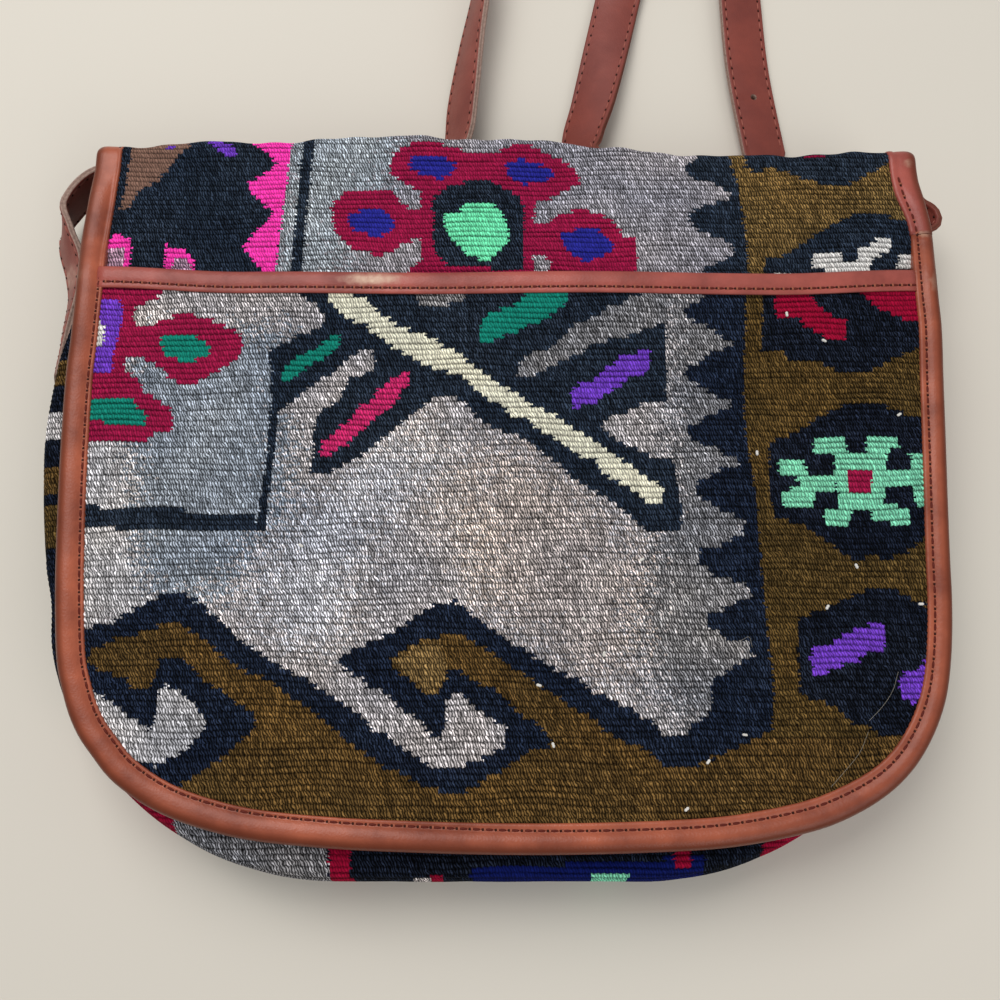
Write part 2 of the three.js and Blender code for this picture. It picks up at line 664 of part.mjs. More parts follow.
// Keeper: a leather loop round the short strap, with room above for the tip of the long one
function strapKeeper() {
  const innerHalf = strapWidth / 2 + clearance;
  const low = buckleLift - clearance;
  const high = buckleLift + strapThickness + keeperRoom;
  const loop = new THREE.Shape();
  loop.moveTo(-innerHalf - keeperThickness, low - keeperThickness);
  loop.lineTo(innerHalf + keeperThickness, low - keeperThickness);
  loop.lineTo(innerHalf + keeperThickness, high + keeperThickness);
  loop.lineTo(-innerHalf - keeperThickness, high + keeperThickness);
  loop.closePath();
  const room = new THREE.Path();
  room.moveTo(-innerHalf, low);
  room.lineTo(-innerHalf, high);
  room.lineTo(innerHalf, high);
  room.lineTo(innerHalf, low);
  room.closePath();
  loop.holes.push(room);
  const keeper = new THREE.ExtrudeGeometry(loop, { depth: keeperLength, bevelEnabled: false });
  keeper.rotateX(Math.PI / 2);
  return keeper.translate(barX, barY - keeperSetback + keeperLength, 0);
}

addPiece('strap_keeper', strapKeeper(), bindingLeather);

export default bag;
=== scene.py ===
# %% [markdown]
# # A kilim messenger bag
# The bag lies on its back with its flap up, and its leather strap is laid out behind it. The CAD frame
# holds every piece as a plain solid. This script dresses that frame: woven wool with real ribs, rolled
# leather bindings, saddle stitching, a two-layer strap and cotton linings. All lengths are in millimetres
# until a mesh is made.

# %% Load the frame
import json
import math

import bmesh
import bpy
import numpy as np
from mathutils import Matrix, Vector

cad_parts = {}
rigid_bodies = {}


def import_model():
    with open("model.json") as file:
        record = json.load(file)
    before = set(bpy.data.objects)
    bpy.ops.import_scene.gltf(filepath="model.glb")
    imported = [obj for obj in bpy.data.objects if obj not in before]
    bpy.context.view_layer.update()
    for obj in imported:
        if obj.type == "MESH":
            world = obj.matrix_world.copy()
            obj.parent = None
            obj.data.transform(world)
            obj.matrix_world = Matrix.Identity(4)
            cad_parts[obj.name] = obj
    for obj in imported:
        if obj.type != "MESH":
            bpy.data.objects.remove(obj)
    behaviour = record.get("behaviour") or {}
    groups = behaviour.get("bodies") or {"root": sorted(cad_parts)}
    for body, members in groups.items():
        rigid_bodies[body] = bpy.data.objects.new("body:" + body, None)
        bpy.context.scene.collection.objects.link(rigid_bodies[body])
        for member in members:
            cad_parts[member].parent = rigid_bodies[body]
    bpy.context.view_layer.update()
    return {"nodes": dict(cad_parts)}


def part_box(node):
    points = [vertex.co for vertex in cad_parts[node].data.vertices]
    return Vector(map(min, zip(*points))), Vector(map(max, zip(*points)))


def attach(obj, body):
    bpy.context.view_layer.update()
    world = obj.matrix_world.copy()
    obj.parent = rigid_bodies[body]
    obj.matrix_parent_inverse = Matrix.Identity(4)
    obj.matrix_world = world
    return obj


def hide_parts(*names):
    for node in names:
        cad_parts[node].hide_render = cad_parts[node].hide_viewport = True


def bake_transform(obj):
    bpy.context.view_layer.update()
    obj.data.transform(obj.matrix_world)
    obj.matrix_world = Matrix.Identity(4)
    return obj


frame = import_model()
MM = 0.001
TINY = 1e-6
print("frame:", len(frame["nodes"]), "nodes")

# %% [markdown]
# ## Camera, light and floor
# The picture was taken from almost straight above, leaning a little towards the top of the bag. A camera
# is fixed by its place, its lean and its focal length, so the same three numbers also turn a pixel of the
# picture into a place on the bag. Soft daylight is one large lamp at the upper left and an even sky.

# %% Camera
PHOTO_SIZE = 1000
FOCAL_PIXELS = 1000
SENSOR = 36
LEAN = math.radians(12)
EYE = np.array([0, -83.2, 441.3])
LOOK = np.array([0, math.sin(LEAN), -math.cos(LEAN)])
UP = np.array([0, math.cos(LEAN), math.sin(LEAN)])


def trace(places):
    """The pixels of a line traced over the picture, written as across,down one after the other."""
    return [tuple(map(int, place.split(","))) for place in places.split()]


def to_photo(x, y, z):
    """The pixel at which a place on the bag shows."""
    depth = (y - EYE[1]) * LOOK[1] + (z - EYE[2]) * LOOK[2]
    rise = (y - EYE[1]) * UP[1] + (z - EYE[2]) * UP[2]
    across = PHOTO_SIZE / 2 + FOCAL_PIXELS * (x - EYE[0]) / depth
    down = PHOTO_SIZE / 2 - FOCAL_PIXELS * rise / depth
    return across, down


def from_photo(across, down, z):
    """The place at height z that shows at a pixel."""
    sideways, rise = (across - PHOTO_SIZE / 2) / FOCAL_PIXELS, (PHOTO_SIZE / 2 - down) / FOCAL_PIXELS
    ray = LOOK + np.array([sideways, 0, 0]) + UP * rise
    return (EYE + ray * (z - EYE[2]) / ray[2])[:2]


def put(name, data):
    """A new object, linked to the scene."""
    made = bpy.data.objects.new(name, data)
    bpy.context.scene.collection.objects.link(made)
    return made


camera_data = bpy.data.cameras.new("camera")
camera_data.sensor_width = SENSOR
camera_data.lens = SENSOR * FOCAL_PIXELS / PHOTO_SIZE
camera = put("camera", camera_data)
camera.location = EYE * MM
camera.rotation_euler = (LEAN, 0, 0)
bpy.context.scene.camera = camera
bpy.context.scene.view_settings.view_transform = "Standard"
print("camera at", [round(float(v), 1) for v in EYE], "mm")


# %% Colour and node helpers
def linear(code):
    """An sRGB hex colour as linear red, green, blue and alpha."""
    parts = [int(code[i:i + 2], 16) / 255 for i in (1, 3, 5)]
    return tuple(p / 12.92 if p <= 0.04045 else ((p + 0.055) / 1.055) ** 2.4 for p in parts) + (1.0,)


def add(tree, kind, links=(), **settings):
    """One node. links gives its inputs, by name or in order, a value, or the node or output that feeds it."""
    made = tree.nodes.new(kind)
    for key, value in settings.items():
        setattr(made, key, value)
    for key, value in links.items() if isinstance(links, dict) else enumerate(links):
        if isinstance(value, bpy.types.Node):
            value = value.outputs[0]
        if isinstance(value, bpy.types.NodeSocket):
            tree.links.new(value, made.inputs[key])
        else:
            made.inputs[key].default_value = value
    return made


def new_material(name, **values):
    """A material, its node tree and its Principled shader, with the values that are the same all over."""
    material = bpy.data.materials.new(name)
    material.use_nodes = True
    shader = material.node_tree.nodes["Principled BSDF"]
    for key, value in values.items():
        shader.inputs[key.replace("_", " ")].default_value = value
    return material, material.node_tree, shader


def feed(tree, shader, **sources):
    """Links nodes, or outputs of theirs, to inputs of the shader."""
    for key, value in sources.items():
        output = value.outputs[0] if isinstance(value, bpy.types.Node) else value
        tree.links.new(output, shader.inputs[key.replace("_", " ")])


print("middle grey in linear light:", round(linear("#808080")[0], 3))

# %% Sky, lamps and floor
SKY_STRENGTH = 0.47
LAMPS = {
    "window": dict(place=(-0.45, 0.80, 1.40), watts=19.8, size=1.1),
    "fill": dict(place=(0.75, -0.90, 1.10), watts=6.0, size=0.9),
}

world = bpy.data.worlds.new("sky")
world.use_nodes = True
world.node_tree.nodes["Background"].inputs["Color"].default_value = linear("#f4f6fa")
world.node_tree.nodes["Background"].inputs["Strength"].default_value = SKY_STRENGTH
bpy.context.scene.world = world
for name, lamp in LAMPS.items():
    lamp_data = bpy.data.lights.new(name, "AREA")
    lamp_data.energy = lamp["watts"]
    lamp_data.size = lamp["size"]
    holder = put(name, lamp_data)
    holder.location = lamp["place"]
    aim = -holder.location
    holder.rotation_euler = aim.to_track_quat("-Z", "Y").to_euler()

FLOOR_HALF = 3000
FLOOR_DROP = 0.2
floor_mesh = bpy.data.meshes.new("floor")
floor_mesh.from_pydata([(x * FLOOR_HALF * MM, y * FLOOR_HALF * MM, -FLOOR_DROP * MM)
                        for x, y in ((-1, -1), (1, -1), (1, 1), (-1, 1))], [], [(0, 1, 2, 3)])
floor = put("floor", floor_mesh)
floor_material, _, _ = new_material("pale floor paint", Base_Color=linear("#d0c9bc"), Roughness=0.75)
floor_mesh.materials.append(floor_material)
print("lamps:", ", ".join(LAMPS))

# %% [markdown]
# ## The bag's own sizes
# These are the driving sizes of the bag: the body's width and depth, the flap's outline, the cloth and
# leather thicknesses and the weave. The flap lies on a front panel that is slightly crowned by what the bag
# holds, so every height below is a sum of layers on top of one crowned surface.

# %% Sizes in millimetres
BODY_LEFT, BODY_RIGHT = -187.5, 179.5
BODY_BOTTOM, BODY_TOP = -146.0, 157.0
BODY_CORNER = 124.0
BODY_DEPTH = 37.0
CROWN, CROWN_RUN = 4.0, 70.0
FLAP_LEFT, FLAP_RIGHT = -176.5, 178.5
FLAP_BOTTOM = -136.0
KILIM, LINING, GAP = 2.4, 0.8, 0.3
FLAP_REST = 2.0
FRONT_SWAY, SWAY_RUN = 0.5, 40.0
BINDING_WIDTH, BINDING_INSET = 10.0, 3.3
JOINT_Y = 120.8
MOUTH_Y = 112.0
BAND_LOW, BAND_HIGH = 88.0, 98.0
POCKET_TOP, POCKET_LIFT, POCKET_LIFT_RUN = 97.0, 1.7, 40.0
RIB = 2.3
RIB_HEIGHT = 0.5
LOOP = 1.15
BODY_MID, BODY_HALF = (BODY_LEFT + BODY_RIGHT) / 2, (BODY_RIGHT - BODY_LEFT) / 2
print("body", BODY_RIGHT - BODY_LEFT, "x", BODY_TOP - BODY_BOTTOM, "x", BODY_DEPTH, "mm")


# %% Heights of the layers
def ease(value, low, high):
    """Goes smoothly from 0 at low to 1 at high."""
    t = np.clip((np.asarray(value, float) - low) / (high - low), 0, 1)
    return t * t * (3 - 2 * t)


def hump(value, middle, reach):
    """A smooth bump of height 1 about middle."""
    return np.exp(-(((np.asarray(value, float) - middle) / reach) ** 2))


def body_half(y):
    """Half the body's width at height y, with its two lower corners round."""
    drop = BODY_CORNER - np.clip(np.asarray(y, float) - BODY_BOTTOM, 0, BODY_CORNER)
    return BODY_HALF - BODY_CORNER + np.sqrt(np.maximum(BODY_CORNER * BODY_CORNER - drop * drop, 0))


def crown(x, y):
    """How far what the bag holds lifts the front panel."""
    side = np.minimum(np.abs(x - BODY_MID) / np.maximum(body_half(y), 1), 1)
    return CROWN * (1 - side ** 2) * ease(y, BODY_BOTTOM, BODY_BOTTOM + CROWN_RUN) * (
        1 - ease(y, BODY_TOP - CROWN_RUN, BODY_TOP))


def sway(x, y):
    """The slow, uneven rise and fall of thick cloth that has been carried about."""
    return (0.55 * np.sin(x / 29 + 1.3) * np.sin(y / 25 + 0.4) + 0.35 * np.sin(x / 17 - y / 41 + 2.0)
            + 0.25 * np.sin(x / 61 + y / 19))


def front_rest(x, y):
    """Height of the bag's front, on which the flap lies."""
    return BODY_DEPTH + crown(x, y) + FRONT_SWAY * sway(x, y) * ease(y, BODY_BOTTOM, BODY_BOTTOM + SWAY_RUN)


def flap_under(x, y):
    """Height of the flap's lining."""
    return front_rest(x, y) + FLAP_REST


def flap_top(x, y):
    """Height of the flap's kilim."""
    return flap_under(x, y) + LINING + GAP + KILIM


def pocket_top(x, y):
    """Height of the pocket's kilim, which stands off the flap near its mouth."""
    lift = POCKET_LIFT * ease(y, BAND_LOW - POCKET_LIFT_RUN, BAND_LOW)
    return flap_top(x, y) + GAP + KILIM + lift


print("pocket's top in the middle:", round(float(pocket_top(BODY_MID, 0)), 1), "mm")

# %% Smooth paths
TOUCHING, JUST_SHORT = 1e-4, 1e-9


def through(stops, share):
    """A smooth curve through the stops, tightened so that it never overshoots a corner."""
    place = np.clip(share * (len(stops) - 1), 0, len(stops) - 1 - JUST_SHORT)
    index = int(place)
    before = stops[index - 1] if index > 0 else 2 * stops[0] - stops[1]
    after = stops[index + 2] if index + 2 < len(stops) else 2 * stops[-1] - stops[-2]
    p0, p1, p2, p3 = before, stops[index], stops[index + 1], after
    d0, d1, d2 = (math.sqrt(np.linalg.norm(b - a)) for a, b in ((p0, p1), (p1, p2), (p2, p3)))
    d1 = d1 if d1 > TOUCHING else 1.0
    d0 = d0 if d0 > TOUCHING else d1
    d2 = d2 if d2 > TOUCHING else d1
    start = ((p1 - p0) / d0 - (p2 - p0) / (d0 + d1) + (p2 - p1) / d1) * d1
    end = ((p2 - p1) / d1 - (p3 - p1) / (d1 + d2) + (p3 - p2) / d2) * d1
    t = place - index
    return (p1 + start * t + (3 * (p2 - p1) - 2 * start - end) * t ** 2
            + (2 * (p1 - p2) + start + end) * t ** 3)


def run_along(path):
    """How far along a path each of its points lies."""
    return np.append(0, np.cumsum(np.linalg.norm(np.diff(path, axis=0), axis=1)))


def unit(directions):
    """The same directions, each one long."""
    return directions / np.maximum(np.linalg.norm(directions, axis=-1, keepdims=True), TINY)


def evenly(path, spacing):
    """The same path with its points at an even spacing."""
    run = run_along(path)
    even = np.linspace(0, run[-1], int(run[-1] / spacing))
    return np.column_stack([np.interp(even, run, column) for column in path.T])


print("a quarter of the way round a corner:", through(np.array([[0, 0], [1, 0], [1, 1]]), 0.25))

# %% Outer edge of the flap, from the top of its left side round to the top of its right side
RIM_GUESS, POCKET_GUESS, RIM_RISE = 44.0, 47.0, 0.6
RIM_SAMPLES, RIM_STEP = 1500, 3.0
STEP_DOWN = (POCKET_TOP - 2, POCKET_TOP + 22)
RIM_SEEN = """
    97,150 92,176 87,206 80,245 76,276 69,337 65,369 60,434 56,510 54,605 56,666 61,691 68,716 78,738
    91,757 106,777 123,792 145,807 169,819 204,831 247,841 334,850 400,853 520,856 640,854 727,849
    792,838 829,828 857,816 881,802 900,787 917,768 930,747 940,725 948,699 952,673 954,642 954,603
    952,560 947,419 944,327 941,300 938,274 933,235 926,202 921,183 917,160"""


def stack_top(x, y):
    """Top of the cloth that the binding folds over: the pocket with its band, and the flap alone above."""
    past = ease(y, *STEP_DOWN)
    return pocket_top(x, y) * (1 - past) + flap_top(x, y) * past


def on_rim(across, down):
    """Where a point of the flap's edge lies, at the height of the binding's shoulder, which shows."""
    return from_photo(across, down, stack_top(*from_photo(across, down, RIM_GUESS)) + RIM_RISE)


rim_stops = np.array([on_rim(across, down) for across, down in trace(RIM_SEEN)])
rim = evenly(np.array([through(rim_stops, share) for share in np.linspace(0, 1, RIM_SAMPLES)]), RIM_STEP)
lowest = int(np.argmin(rim[:, 1]))


def path_sides(path):
    """Unit direction along a plan path and, to its left, the direction into the bag."""
    ahead = unit(np.gradient(path, axis=0))
    return ahead, np.stack([-ahead[:, 1], ahead[:, 0]], -1)


def flap_edges(y):
    """The flap's left and right edge at height y."""
    left, right = rim[:lowest + 1][::-1], rim[lowest:]
    return np.interp(y, left[:, 1], left[:, 0]), np.interp(y, right[:, 1], right[:, 0])


print("flap", FLAP_RIGHT - FLAP_LEFT, "x", BODY_TOP - FLAP_BOTTOM, "mm on a body",
      BODY_RIGHT - BODY_LEFT, "mm wide")

# %% [markdown]
# ## Materials
# A bag like this has six: weft-faced wool, vegetable-tanned leather rolled over an edge, the same leather
# as a flat strap, cotton, linen thread and brass. Each is procedural. The wool reads its colour from the
# weave itself, because in a kilim the pattern is the thread.


# %% Wool kilim
WOOL_NOISE = {"bend": ((0.45, 0.8, 0), 1.0), "streak": ((0.30, 0.06, 0), 3.0),
              "drift": ((0.022, 0.05, 0), 3.0), "groove_shade_beat": ((0.035, 0.9, 0), 1.0)}
YARN_SLANT, YARN_BEND = 0.8, 1.4
FIBRE_SCALE, FIBRE_JUMP = 2.6, 7.3
SHADE_MIDDLE = -1.85
# GAP_SHADE is painted shade at both edges of every loop, so that each loop looks round.
YARN_SHADE, FIBRE_SHADE, STREAK_SHADE, DRIFT_SHADE, GAP_SHADE = 1.7, 3.2, 0.9, 1.0, -4.8
# Painted shade in the grooves between ribs: how sharp it is, and its shallowest and deepest.
GROOVE_SHADE_POWER, SHALLOW_GROOVE_SHADE, DEEP_GROOVE_SHADE = 2.6, -0.4, -1.7
DYE_DRIFT = (0.3, 0.06, -0.3)
WOOL_RELIEF = 0.35


def wool_material():
    """Weft-faced wool: matt, each loop a slanting stroke of hand-spun yarn of its own shade, with painted
    shade at the loop's edges and in the grooves between ribs.
    """
    material, tree, shader = new_material("weft-faced wool kilim", Roughness=0.95, Specular_IOR_Level=0.05)
    place = add(tree, "ShaderNodeUVMap", uv_map="weave")
    noise = {}
    for name, (stretch, detail) in WOOL_NOISE.items():
        stretched = add(tree, "ShaderNodeVectorMath", [place, stretch], operation="MULTIPLY")
        noise[name] = add(tree, "ShaderNodeTexNoise", {"Vector": stretched, "Scale": 1.0, "Detail": detail},
                          noise_dimensions="2D")
    axes = add(tree, "ShaderNodeSeparateXYZ", [place]).outputs
    row, up = (add(tree, "ShaderNodeMath", [axes["Y"]], operation=part) for part in ("FLOOR", "FRACT"))
    start = add(tree, "ShaderNodeTexWhiteNoise", {"W": row}, noise_dimensions="1D")
    shifted = add(tree, "ShaderNodeMath", [start, axes["X"]])
    bent = add(tree, "ShaderNodeMath", [noise["bend"], YARN_BEND, shifted], operation="MULTIPLY_ADD")
    upright = add(tree, "ShaderNodeMath", [up, YARN_SLANT, bent], operation="MULTIPLY_ADD")
    loop, side = (add(tree, "ShaderNodeMath", [upright], operation=part) for part in ("FLOOR", "FRACT"))
    cell = add(tree, "ShaderNodeCombineXYZ", [loop, row])
    yarn = add(tree, "ShaderNodeTexWhiteNoise", {"Vector": cell}, noise_dimensions="2D")
    wrap, dive = (add(tree, "ShaderNodeMath", [part, 2.0, -1.0], operation="MULTIPLY_ADD")
                  for part in (side, up))
    # Painted shade at both edges of each loop, so that it looks round.
    loop_edge_shade = add(tree, "ShaderNodeMath", [wrap, wrap], operation="MULTIPLY")
    dive_depth = add(tree, "ShaderNodeMath", [dive], operation="ABSOLUTE")
    groove = add(tree, "ShaderNodeMath", [dive_depth, GROOVE_SHADE_POWER], operation="POWER")
    own_fibres = add(tree, "ShaderNodeMath", [row, FIBRE_JUMP, upright], operation="MULTIPLY_ADD")
    fibre_place = add(tree, "ShaderNodeCombineXYZ", [own_fibres, axes["Y"]])
    fibre = add(tree, "ShaderNodeTexNoise", {"Vector": fibre_place, "Scale": FIBRE_SCALE, "Detail": 2.0},
                noise_dimensions="2D")
    shade = SHADE_MIDDLE
    for part, much in ((yarn, YARN_SHADE), (fibre, FIBRE_SHADE), (noise["streak"], STREAK_SHADE),
                       (noise["drift"], DRIFT_SHADE), (loop_edge_shade, GAP_SHADE)):
        shade = add(tree, "ShaderNodeMath", [part, much, shade], operation="MULTIPLY_ADD")
    thread = add(tree, "ShaderNodeAttribute", attribute_name="wool").outputs
    shade = add(tree, "ShaderNodeMath", [shade, thread["Alpha"]], operation="MULTIPLY")
    # The painted groove shade is deeper in some places than in others.
    depth = add(tree, "ShaderNodeMapRange", {"Value": noise["groove_shade_beat"], "From Min": 0.3, "From Max": 0.7,
                                             "To Min": SHALLOW_GROOVE_SHADE, "To Max": DEEP_GROOVE_SHADE})
    shade = add(tree, "ShaderNodeMath", [groove, depth, shade], operation="MULTIPLY_ADD")
    level = add(tree, "ShaderNodeMath", [shade], operation="EXPONENT")
    tint_turn = add(tree, "ShaderNodeMath", [noise["drift"], 0.5], operation="SUBTRACT")
    tint_strength = add(tree, "ShaderNodeMath", [tint_turn, thread["Alpha"]], operation="MULTIPLY")
    tint = add(tree, "ShaderNodeVectorMath", {0: DYE_DRIFT, "Scale": tint_strength}, operation="SCALE")
    tinted = add(tree, "ShaderNodeVectorMath", [tint, (1, 1, 1)])
    dyed = add(tree, "ShaderNodeVectorMath", [thread["Color"], tinted], operation="MULTIPLY")
    colour = add(tree, "ShaderNodeVectorMath", {0: dyed, "Scale": level}, operation="SCALE")
    bump = add(tree, "ShaderNodeBump", {"Height": fibre, "Distance": WOOL_RELIEF * MM, "Strength": 0.7})
    feed(tree, shader, Base_Color=colour, Normal=bump)
    return material


WOOL = wool_material()
print(WOOL.name, len(WOOL.node_tree.nodes), "nodes")

# %% [markdown]
# ## Leather
# Vegetable-tanned leather has clouds of dye, fine pores and creases and pale rubbed places, and a rolled
# binding gets painted shade on its outer side. One noise can't be all of these, so each is a few nodes. Two
# point attributes say where the shaded side and the rubbing are, and so one tree serves the bindings, the
# band and the strap.

# %% Leather
CLOUD_SIZE, PATCH_SIZE, CREASE_SIZE = 22, 3, 5
PORE_RELIEF = 0.12
DEEP_AT, FACE_AT = 0.30, 0.68
CREASE_SHARE = 0.8
# Painted shade on the outer side of a rolled binding: how much, and its dark orange-brown.
OUTER_SIDE_SHADE = 0.9
OUTER_SIDE_SHADE_COLOUR = "#5a2104"
MIX_SHARE, MIX_FROM, MIX_TO, MIXED = 0, 6, 7, 2


def leather_material(name, deep, face, pale, gloss, grain):
    """Vegetable-tanned leather: a satin skin with fine pores, paler where it is rubbed, and with painted
    shade on the outer side of a binding."""
    material, tree, shader = new_material(name, IOR=1.48, Specular_IOR_Level=0.28)
    place = add(tree, "ShaderNodeTexCoord").outputs["Object"]
    clouds = add(tree, "ShaderNodeTexNoise",
                 {"Vector": place, "Scale": 1 / (CLOUD_SIZE * MM), "Detail": 4.0, "Roughness": 0.6})
    tone = add(tree, "ShaderNodeValToRGB", [clouds])
    for element, at, code in zip(tone.color_ramp.elements, (DEEP_AT, FACE_AT), (deep, face)):
        element.position, element.color = at, linear(code)
    wear = add(tree, "ShaderNodeAttribute", attribute_name="wear").outputs["Fac"]
    patch = add(tree, "ShaderNodeTexNoise", {"Vector": place, "Scale": 1 / (PATCH_SIZE * MM), "Detail": 3.0})
    rubbed = add(tree, "ShaderNodeMath", [wear, patch], operation="MULTIPLY")
    rubbed_edge = add(tree, "ShaderNodeMapRange", {"Value": rubbed, "From Min": 0.10, "From Max": 0.55})
    # A point attribute marks a binding's outer side, which gets painted shade.
    side = add(tree, "ShaderNodeAttribute", attribute_name="painted_side_shade").outputs["Fac"]
    outer_shade = add(tree, "ShaderNodeMath", [side, OUTER_SIDE_SHADE], operation="MULTIPLY")
    colour = tone
    for share, code in ((rubbed_edge, pale), (outer_shade, OUTER_SIDE_SHADE_COLOUR)):
        colour = add(tree, "ShaderNodeMix", {MIX_SHARE: share, MIX_FROM: colour, MIX_TO: linear(code)},
                     data_type="RGBA").outputs[MIXED]
    pores = add(tree, "ShaderNodeTexVoronoi", {"Vector": place, "Scale": 1 / (grain * MM)})
    creases = add(tree, "ShaderNodeTexNoise",
                  {"Vector": place, "Scale": 1 / (CREASE_SIZE * MM), "Detail": 5.0})
    skin = add(tree, "ShaderNodeMath", [creases, CREASE_SHARE, pores], operation="MULTIPLY_ADD")
    bump = add(tree, "ShaderNodeBump", {"Height": skin, "Distance": PORE_RELIEF * MM, "Strength": 0.5})
    shine = add(tree, "ShaderNodeMapRange", {"Value": clouds, "From Min": 0.3, "From Max": 0.7,
                                             "To Min": gloss + 0.08, "To Max": gloss - 0.06})
    feed(tree, shader, Base_Color=colour, Roughness=shine, Normal=bump)
    return material


BINDING_LEATHER = leather_material("rolled binding leather", "#7a3b29", "#ad5c41", "#c9a78e", 0.36, 0.9)
BAND_LEATHER = leather_material("folded band leather", "#7c3a32", "#a65449", "#c9a78e", 0.38, 0.9)
STRAP_LEATHER = leather_material("red-brown strap leather", "#6d322a", "#813d32", "#b98f7d", 0.46, 0.8)
print(STRAP_LEATHER.name, len(STRAP_LEATHER.node_tree.nodes), "nodes")

# %% [markdown]
# ## Small finishes
# Cotton is a plain weave, waxed thread is twisted, brass is dulled by hands and a cut strap shows its fibres.
# A flat colour would almost do at this size. A noise or two more lets each catch the light in its own way.

# %% Cotton and thread
COTTON_THREAD, SLUB_SIZE, COTTON_RELIEF = 2.4, 14, 0.1
TWIST_SIZE = 0.5


def cotton_material():
    """Plain-woven cotton: a fine, even grid of threads with almost no shine."""
    material, tree, shader = new_material("plain-woven cotton", Roughness=0.9, Specular_IOR_Level=0.15)
    place = add(tree, "ShaderNodeTexCoord").outputs["Object"]
    around = add(tree, "ShaderNodeMapping", {"Vector": place, "Rotation": (math.pi / 4, 0, 0),
                                             "Scale": (1, math.sqrt(2), math.sqrt(2))})
    # The dark mortar lines between the threads are painted shade.
    threads = add(tree, "ShaderNodeTexBrick",
                  {"Vector": around, "Color1": linear("#a98e6b"), "Color2": linear("#97794f"),
                   "Mortar": linear("#6d5538"), "Scale": 1 / (COTTON_THREAD * MM), "Mortar Size": 0.02})
    slubs = add(tree, "ShaderNodeTexNoise", {"Vector": place, "Scale": 1 / (SLUB_SIZE * MM), "Detail": 4.0})
    shade = add(tree, "ShaderNodeMapRange", {"Value": slubs, "To Min": 0.78, "To Max": 1.12})
    colour = add(tree, "ShaderNodeVectorMath", {0: threads, "Scale": shade}, operation="SCALE")
    bump = add(tree, "ShaderNodeBump",
               {"Height": threads.outputs["Fac"], "Distance": COTTON_RELIEF * MM, "Strength": 0.5})
    feed(tree, shader, Base_Color=colour, Normal=bump)
    return material


def thread_material(name, code):
    """Waxed linen thread: twisted, with a dull gleam."""
    material, tree, shader = new_material(name, Roughness=0.55, Specular_IOR_Level=0.12)
    place = add(tree, "ShaderNodeTexCoord").outputs["Object"]
    twist = add(tree, "ShaderNodeTexNoise", {"Vector": place, "Scale": 1 / (TWIST_SIZE * MM)})
    tone = add(tree, "ShaderNodeMapRange", {"Value": twist, "To Min": 0.7, "To Max": 1.25})
    colour = add(tree, "ShaderNodeVectorMath", {0: linear(code)[:3], "Scale": tone}, operation="SCALE")
    feed(tree, shader, Base_Color=colour)
    return material


COTTON = cotton_material()
BINDING_THREAD = thread_material("rust linen thread", "#5a2118")
STRAP_THREAD = thread_material("faded linen thread", "#95564a")
# A near-black shape on each stitch hole is painted shade in the hole.
AWL_HOLE_SHADE = thread_material("painted awl hole shade", "#35170f")
PINCHED = thread_material("pinched leather", "#985641")
LOOSE_WOOL = thread_material("loose white wool", "#d9d5cd")
LOOSE_HAIR = thread_material("loose grey hair", "#9c968a")
print(COTTON.name, len(COTTON.node_tree.nodes), "nodes")

# %% Brass and raw edges
DULL_SIZE, SCRATCH_SIZE, SCRATCH_DEPTH = 6, 1.5, 0.03
FIBRE_SIZE = 1.2


def brass_material():
    """Polished brass, handled until it dulled: warm metal with cloudy and finely scratched patches."""
    material, tree, shader = new_material("handled brass", Metallic=1.0)
    place = add(tree, "ShaderNodeTexCoord").outputs["Object"]
    clouds = add(tree, "ShaderNodeTexNoise", {"Vector": place, "Scale": 1 / (DULL_SIZE * MM), "Detail": 4.0})
    tone = add(tree, "ShaderNodeValToRGB", [clouds])
    for element, code in zip(tone.color_ramp.elements, ("#9c7a3c", "#d3b272")):
        element.color = linear(code)
    shine = add(tree, "ShaderNodeMapRange", {"Value": clouds, "To Min": 0.42, "To Max": 0.22})
    scratch_place = add(tree, "ShaderNodeMapping", {0: place, "Scale": (1, 9, 1)})
    scratches = add(tree, "ShaderNodeTexNoise", {"Vector": scratch_place, "Scale": 1 / (SCRATCH_SIZE * MM)})
    bump = add(tree, "ShaderNodeBump", {"Height": scratches, "Distance": SCRATCH_DEPTH * MM, "Strength": 0.3})
    feed(tree, shader, Base_Color=tone, Roughness=shine, Normal=bump)
    return material


def raw_edge_material(name, deep, pale):
    """The cut edge of two glued layers: dry leather, mottled where the fibres stand."""
    material, tree, shader = new_material(name, Roughness=0.8, Specular_IOR_Level=0.2)
    place = add(tree, "ShaderNodeTexCoord").outputs["Object"]
    fibres = add(tree, "ShaderNodeTexNoise", {"Vector": place, "Scale": 1 / (FIBRE_SIZE * MM), "Detail": 4.0})
    tone = add(tree, "ShaderNodeValToRGB", [fibres])
    for element, code in zip(tone.color_ramp.elements, (deep, pale)):
        element.color = linear(code)
    feed(tree, shader, Base_Color=tone)
    return material


RAW_EDGE = raw_edge_material("raw cut leather edge", "#5c4238", "#b59a8c")
STAINED_EDGE = raw_edge_material("stained leather edge", "#50261c", "#7d4638")
BRASS = brass_material()
print("materials:", len(bpy.data.materials))

# %% [markdown]
# ## The pattern
# A kilim's motifs are areas of one yarn each, and their slanting edges climb in steps, one rib at a time.
# An image would be the quick way to show them. Here each motif is a simple outline laid over the last in
# the weaver's order, and the yarn of each loop is whatever motif its middle falls in, so the steps come
# from the weave. The outlines are pixel places in the picture, cast onto the cloth through the camera.

